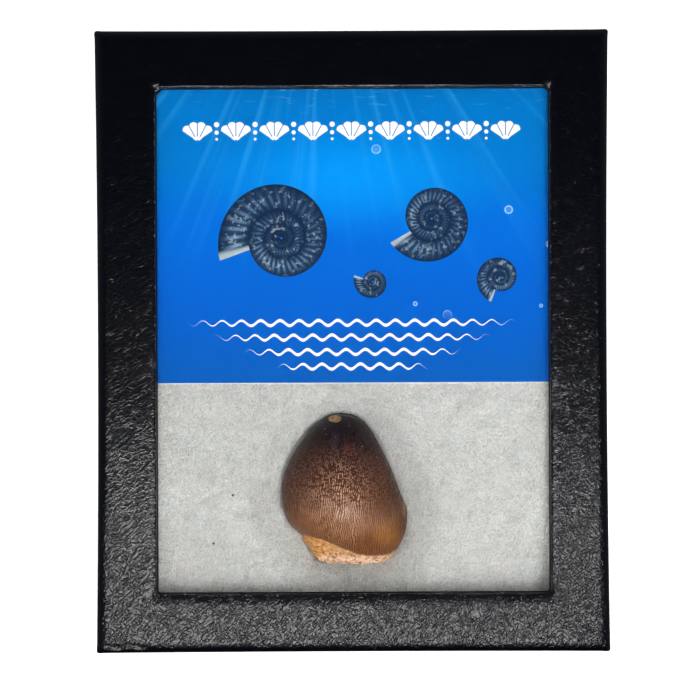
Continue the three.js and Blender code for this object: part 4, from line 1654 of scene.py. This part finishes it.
@dataclass
class FibrePad:
    """White fibre that fills the tray, presses against the glass and the card, and takes the tooth."""

    tooth: FossilTooth
    half: tuple[float, float] = (50.2, 61.8)
    floor: float = 1.6
    under_card: float = 24.5
    under_glass: float = 24.72
    ceiling: float = 24.95
    lump: float = 0.22
    foot_fall: float = 3.7
    side_fall: float = 0.5
    groove: float = 0.9
    rim_fall: float = 3.0
    rim_reach: float = 4.0
    contact: float = 16.9
    root_fall: float = 1.9
    tip_fall: float = 1.4
    flare: float = 11.0
    tuck: float = 4.6
    hollow: float = 8.5
    columns: int = 660
    rows: int = 132
    hollow_rows: int = 20
    side_rows: int = 14
    side_pull: float = 0.7
    joints: int = 8
    window: tuple[float, float, float, float] = (-41.5, -54.0, 42.0, -8.6)

    def height(self, x: np.ndarray, y: np.ndarray) -> np.ndarray:
        """The pad's upper surface.

        It is level under the glass, lower under the card, with lumps and, at the foot, two grooves. It falls
        off to the foot and the sides and rolls over a quarter circle at its rim. Round the tooth it dips to a
        lip by a power of the nearness, deeper at the root and the tip, and inside the tooth's outline it goes
        down under it.

        Args:
            x: Places across.
            y: Places up.

        Returns:
            Z at each place.
        """
        noise = GradientNoise(41)
        place = np.stack([x, y, np.zeros_like(x)], axis=-1)
        at_card = ease(y, CARD_FOOT - 4, CARD_FOOT)
        level = self.under_glass + (self.under_card - self.under_glass) * at_card
        lumps = self.lump * noise.at(place / 9) + 0.1 * noise.at(place / 3.1 + 7) - 0.12
        foot = (self.foot_fall + 0.5 * ease(x, 0.0, 30.0)) * ease(y, -37.0, -55.5)
        sides = self.side_fall * ease(np.abs(x), 36.0, 48.0)
        groove = self.groove * (bump_at(x, -1.5, 0.6) + 0.7 * bump_at(x, 2.1, 0.5)) * ease(y, -47.5, -50.0)
        rim = np.minimum(self.half[0] - np.abs(x), self.half[1] - np.abs(y))
        rolled = self.rim_fall * (1 - np.sqrt(1 - (1 - np.clip(rim / self.rim_reach, 0, 1)) ** 2))
        top = level + lumps - (foot + sides) - groove - rolled
        away_x, away_y = x - self.tooth.at[0], y - self.tooth.at[1]
        angle = np.arctan2(away_y, away_x)
        distance = np.hypot(away_x, away_y)
        gap = distance - self.tooth.outline_radius(angle)
        lean = np.cos(angle + 0.3)
        lip = self.contact - 0.1 * lean + 0.8 * noise.at(place / 5 + 3)
        lip -= self.root_fall * ease(away_y, -6.0, -15.0) + self.tip_fall * ease(away_y, 3, 12)
        around = [self.tooth.outline_radius(angle + offset) for offset in np.linspace(-0.3, 0.3, 7)]
        soft_gap = 0.3 * gap + 0.7 * (distance - np.mean(around, axis=0))
        near = np.clip(1 - soft_gap / (self.flare + 0.4 * lean), 0, 1) ** 1.7
        under_root = 1.2 * ease(away_y, -11.5, -16.5) * ease(np.abs(away_x), 15.0, 6.0) * near
        dipped = top - (top - lip) * near - under_root
        return dipped - self.tuck * ease(gap, -0.05, -0.75) - self.hollow * ease(gap, -0.3, -3.6)

    def _edge_distance(self, angle: np.ndarray) -> np.ndarray:
        """How far the pad's straight-sided plan reaches from the tooth's middle in each direction."""
        towards_x, towards_y = np.cos(angle), np.sin(angle)
        room_x = (np.sign(towards_x) * self.half[0] - self.tooth.at[0]) / towards_x
        room_y = (np.sign(towards_y) * self.half[1] - self.tooth.at[1]) / towards_y
        return np.minimum(room_x, room_y)

    def pad(self, finish: bpy.types.Material) -> None:
        """Builds the pad: loops from the middle of its underside, up its sides, which pull in by a sine of
        the height, and across its top to the bottom of the hollow.

        Args:
            finish: The fibre's material.
        """
        angle = (np.arange(self.columns) + 0.5) * (TURN / self.columns)
        direction = np.stack([np.cos(angle), np.sin(angle)], axis=-1)
        rim = self._edge_distance(angle)
        outline = self.tooth.outline_radius(angle)
        outer = np.linspace(1, 0, self.rows)[:, None] ** 1.7
        out = outline + (rim - outline) * outer
        inner = outline * np.linspace(1, 0, self.hollow_rows + 2)[1:-1, None]
        reach = np.vstack([out, inner])
        flat = reach[..., None] * direction + np.array(self.tooth.at[:2])
        top = np.concatenate([flat, self.height(flat[..., 0], flat[..., 1])[..., None]], axis=-1)
        edge = top[0]
        levels = np.linspace(0, 1, self.side_rows)[:, None]
        side = np.repeat(edge[None], self.side_rows, axis=0)
        side[..., 2] = self.floor + (edge[:, 2] - self.floor) * levels
        waist = self.side_pull * np.sin(levels * math.pi) + 1.2 * (1 - levels) ** 6
        side[..., :2] *= 1 - waist[..., None] / np.abs(side[..., :2]).max(axis=-1, keepdims=True)
        under = side[:1] * np.array([0.5, 0.5, 1.0])
        loops = np.concatenate([under, side[:-1], top])
        surface = closed_stack(loops, (0, 0, self.floor), loops[-1].mean(axis=0))
        piece = add_piece("fibre_pad", surface, finish, ["batting"])

    def fibres(self, layer: FibreLayer, finish: bpy.types.Material) -> None:
        """Strews loose fibres over the pad where it shows.

        Each is a three-sided thread along a path that starts along the lie of the fibre there, a slow noise,
        bends steadily and wanders. It lies on the pad, arched a little, under the glass and off the tooth.

        Args:
            layer: The layer's measures. Fibres on the tooth or past the window are left out.
            finish: The fibre's material.
        """
        rng = np.random.default_rng(layer.seed)
        count, joints = layer.count, self.joints
        left, low, right, high = self.window
        middle = rng.uniform((left, low), (right, high), (count, 2))
        length = rng.uniform(*layer.lengths, count)
        lie = GradientNoise(61).at(np.column_stack([middle / 13, np.full(count, 0.5)]))
        heading = 0.75 + 2.6 * lie + rng.normal(0, 0.7, count)
        bend = rng.normal(0, 0.1, (count, 1)) + rng.normal(0, 0.16, (count, joints - 1))
        course = heading[:, None] + np.cumsum(bend, axis=1)
        step = np.stack([np.cos(course), np.sin(course)], axis=-1) * (length / (joints - 1))[:, None, None]
        path = np.concatenate([np.zeros((count, 1, 2)), np.cumsum(step, axis=1)], axis=1)
        path += (middle - path.mean(axis=1))[:, None, :]
        away = path - np.array(self.tooth.at[:2])
        gap = np.hypot(away[..., 0], away[..., 1])
        gap -= self.tooth.outline_radius(np.arctan2(away[..., 1], away[..., 0]))
        kept = (gap.min(axis=1) > 0.12) & (path[..., 1].max(axis=1) < high + 6)
        kept &= (np.abs(path[..., 0]).max(axis=1) < self.half[0] - 1) & (path[..., 1].min(axis=1) > -58)
        path, length = path[kept], length[kept]
        arch = np.sin(np.linspace(0, 1, joints) * math.pi) * rng.uniform(0.02, layer.arch, (len(path), 1))
        rise = self.height(path[..., 0], path[..., 1]) + arch + rng.uniform(*layer.rises, (len(path), 1))
        card = path[..., 1] > CARD_FOOT - 0.3
        rise = np.minimum(rise, np.where(card, self.under_card + 0.06, self.ceiling))
        width = rng.uniform(*layer.radii, (len(path), 1))
        tone = rng.uniform(*layer.tones, len(path))
        along = np.gradient(path, axis=1)
        along /= np.linalg.norm(along, axis=-1, keepdims=True)
        across = np.stack([-along[..., 1], along[..., 0]], axis=-1)
        sides = []
        for turn in (0, TURN / 3, 2 * TURN / 3):
            plan = path + across * (width * math.cos(turn))[..., None]
            sides.append(np.concatenate([plan, (rise + width * math.sin(turn))[..., None]], axis=-1))
        points = np.stack(sides, axis=2).reshape(-1, 3)
        body = grid_faces(joints, 3, wrap_columns=True)[:, ::-1]
        tail = np.array([[0, 1, 2]])
        nose = tail[:, ::-1] + 3 * (joints - 1)
        first = (np.arange(len(path)) * 3 * joints)[:, None, None]
        blocks = [(block + first).reshape(-1, block.shape[1]) for block in (body, tail, nose)]
        tones = np.repeat(tone, 3 * joints)
        add_piece(layer.name, Surface(points, blocks), finish, attributes={"tone": tones})


@dataclass
class DisplayCard:
    """The printed card between the fibre and the glass."""

    top: float = 24.93
    thickness: float = 0.35
    columns: int = 81
    rows: int = 57

    def build(self, finish: bpy.types.Material) -> None:
        """Builds the card: a thin sheet with slow waves, up to a tenth of a millimetre under the glass.

        Args:
            finish: The printed face.
        """
        x = np.linspace(-CARD_HALF_WIDTH, CARD_HALF_WIDTH, self.columns)
        y = np.linspace(CARD_FOOT, CARD_HEAD, self.rows)
        across, up = np.meshgrid(x, y)
        wave = 0.05 * (1 + np.sin(across * 0.06 + 0.8) * np.cos(up * 0.07 - 0.3))
        grid = np.stack([across, up, self.top - wave], axis=-1)
        add_piece("card_print", slab(grid, self.thickness), finish, ["info_card"], sharp=40)


# The studio


class LampTask(Enum):
    """What a lamp is for."""

    BODY = "lights colour and form"
    SHEEN = "shows in glossy surfaces"


@dataclass
class Studio:
    """Floor, soft lights and the camera, straight above the case."""

    distance: float = 380.0
    view_width: float = 147.9
    centre: tuple[float, float] = (-0.5, -1.89)
    turn: float = -0.24
    key_watts: float = 0.75
    fill_watts: float = 27.0
    sheen_watts: float = 0.3
    room_glow: float = 0.13
    room: Colour = (0.85, 0.9, 1.0, 1.0)
    backdrop: Colour = (0.96, 0.96, 0.97, 1.0)
    floor_half: float = 1500.0
    floor_thickness: float = 10.0

    def camera(self) -> None:
        """Sets the camera: its lens takes in view_width at the height of the lid's face."""
        data = bpy.data.cameras.new("camera")
        data.sensor_width = 36.0
        data.lens = data.sensor_width * self.distance / self.view_width
        data.clip_start = 0.01
        camera = bpy.data.objects.new("camera", data)
        camera.location = (self.centre[0] * MM, self.centre[1] * MM, (CASE_DEPTH + self.distance) * MM)
        camera.rotation_euler = (0, 0, math.radians(self.turn))
        bpy.context.scene.collection.objects.link(camera)
        bpy.context.scene.camera = camera

    def light(
        self,
        name: str,
        place: tuple[float, float, float],
        size: tuple[float, float],
        watts: float,
        task: LampTask,
    ) -> None:
        """Sets a soft lamp that faces the case.

        Args:
            name: The lamp's name.
            place: Where it stands, in millimetres.
            size: How large it is, in millimetres.
            watts: Its power.
            task: What it is for.
        """
        data = bpy.data.lights.new(name, "AREA")
        data.shape = "RECTANGLE"
        data.size, data.size_y = size[0] * MM, size[1] * MM
        data.energy = watts
        lamp = bpy.data.objects.new(name, data)
        lamp.location = tuple(length * MM for length in place)
        lamp.rotation_euler = lamp.location.to_track_quat("Z", "Y").to_euler()
        lamp.visible_diffuse = task is LampTask.BODY
        lamp.visible_glossy = task is LampTask.SHEEN
        lamp.visible_camera = False
        lamp.visible_transmission = False
        bpy.context.scene.collection.objects.link(lamp)

    def world(self) -> None:
        """Sets the room: dark overhead and towards the case's foot, lighter low down on the other sides, and
        pale where the camera sees it."""
        world = bpy.data.worlds.new("studio")
        world.use_nodes = True
        wiring = Wiring(world.node_tree)
        world.node_tree.nodes.clear()
        seen = wiring.add("ShaderNodeLightPath").outputs["Is Camera Ray"]
        across, ahead, up = wiring.axes(wiring.add("ShaderNodeTexCoord").outputs["Generated"])
        low = across.beside(ahead).most(up.ramp(0.0, -0.05))
        glow = low * low * ahead.ramp(-0.6, -0.1) * self.room_glow + 0.004
        dim = wiring.add("ShaderNodeBackground", {"Color": self.room, "Strength": glow})
        pale = wiring.add("ShaderNodeBackground", {"Color": self.backdrop, "Strength": 1.0})
        both = wiring.add("ShaderNodeMixShader", {0: seen, 1: dim.outputs[0], 2: pale.outputs[0]})
        wiring.add("ShaderNodeOutputWorld", {"Surface": both.outputs[0]})
        bpy.context.scene.world = world

    def floor(self, finish: bpy.types.Material) -> None:
        """Lays the floor just under the tray."""
        line = np.linspace(-self.floor_half, self.floor_half, 9)
        across, up = np.meshgrid(line, line)
        top = np.stack([across, up, np.full_like(across, -0.05)], axis=-1)
        mesh = slab(top, self.floor_thickness).mesh("floor", {}, 30)
        mesh.materials.append(finish)
        floor = bpy.data.objects.new("floor", mesh)
        floor.visible_glossy = False
        bpy.context.scene.collection.objects.link(floor)

    def build(self) -> None:
        """Sets the whole studio."""
        self.camera()
        self.world()
        self.light("key", (170, -60, 400), (170, 130), self.key_watts, LampTask.BODY)
        self.light("fill", (0, 0, 800), (1900, 1900), self.fill_watts, LampTask.BODY)
        for name, across in (("sheen_left", -100), ("sheen_middle", 0), ("sheen_right", 100)):
            self.light(name, (across, -145, 400), (40, 60), self.sheen_watts, LampTask.SHEEN)
        self.floor(PaleFloor().material())
        bpy.context.scene.view_settings.view_transform = "Standard"


def main() -> None:
    """Builds every piece in order, from the case inwards, and then the studio."""
    logging.basicConfig(level=logging.INFO, format="%(name)s: %(message)s")
    case = SpecimenCase()
    case.lid(LeatherGrain().material())
    case.tray(CoverPaper().material())
    case.pins(Steel().material())
    case.dress_glass(WindowGlass().material())
    DisplayCard().build(PrintedCard().material())
    tooth = FossilTooth()
    tooth.build(FossilFinish(tooth.at).material())
    pad = FibrePad(tooth)
    fibre = Fibre()
    pad.pad(fibre.material("fibre", 0.2))
    strand = fibre.material("fibre_strand", 0.3)
    for layer in (
        FibreLayer("fibres_low", 101, 5000, (2.5, 6.0), (0.025, 0.045), (-0.02, 0.05), (0.0, 0.6), 0.08),
        FibreLayer("fibres_middle", 102, 5000, (2.0, 5.0), (0.025, 0.045), (0.0, 0.08), (0.2, 1.0), 0.14),
        FibreLayer("fibres_top", 103, 5000, (0.6, 3.0), (0.035, 0.065), (0.02, 0.1), (0.4, 1.6), 0.2),
    ):
        pad.fibres(layer, strand)
    Studio().build()


if __name__ == "__main__":
    main()
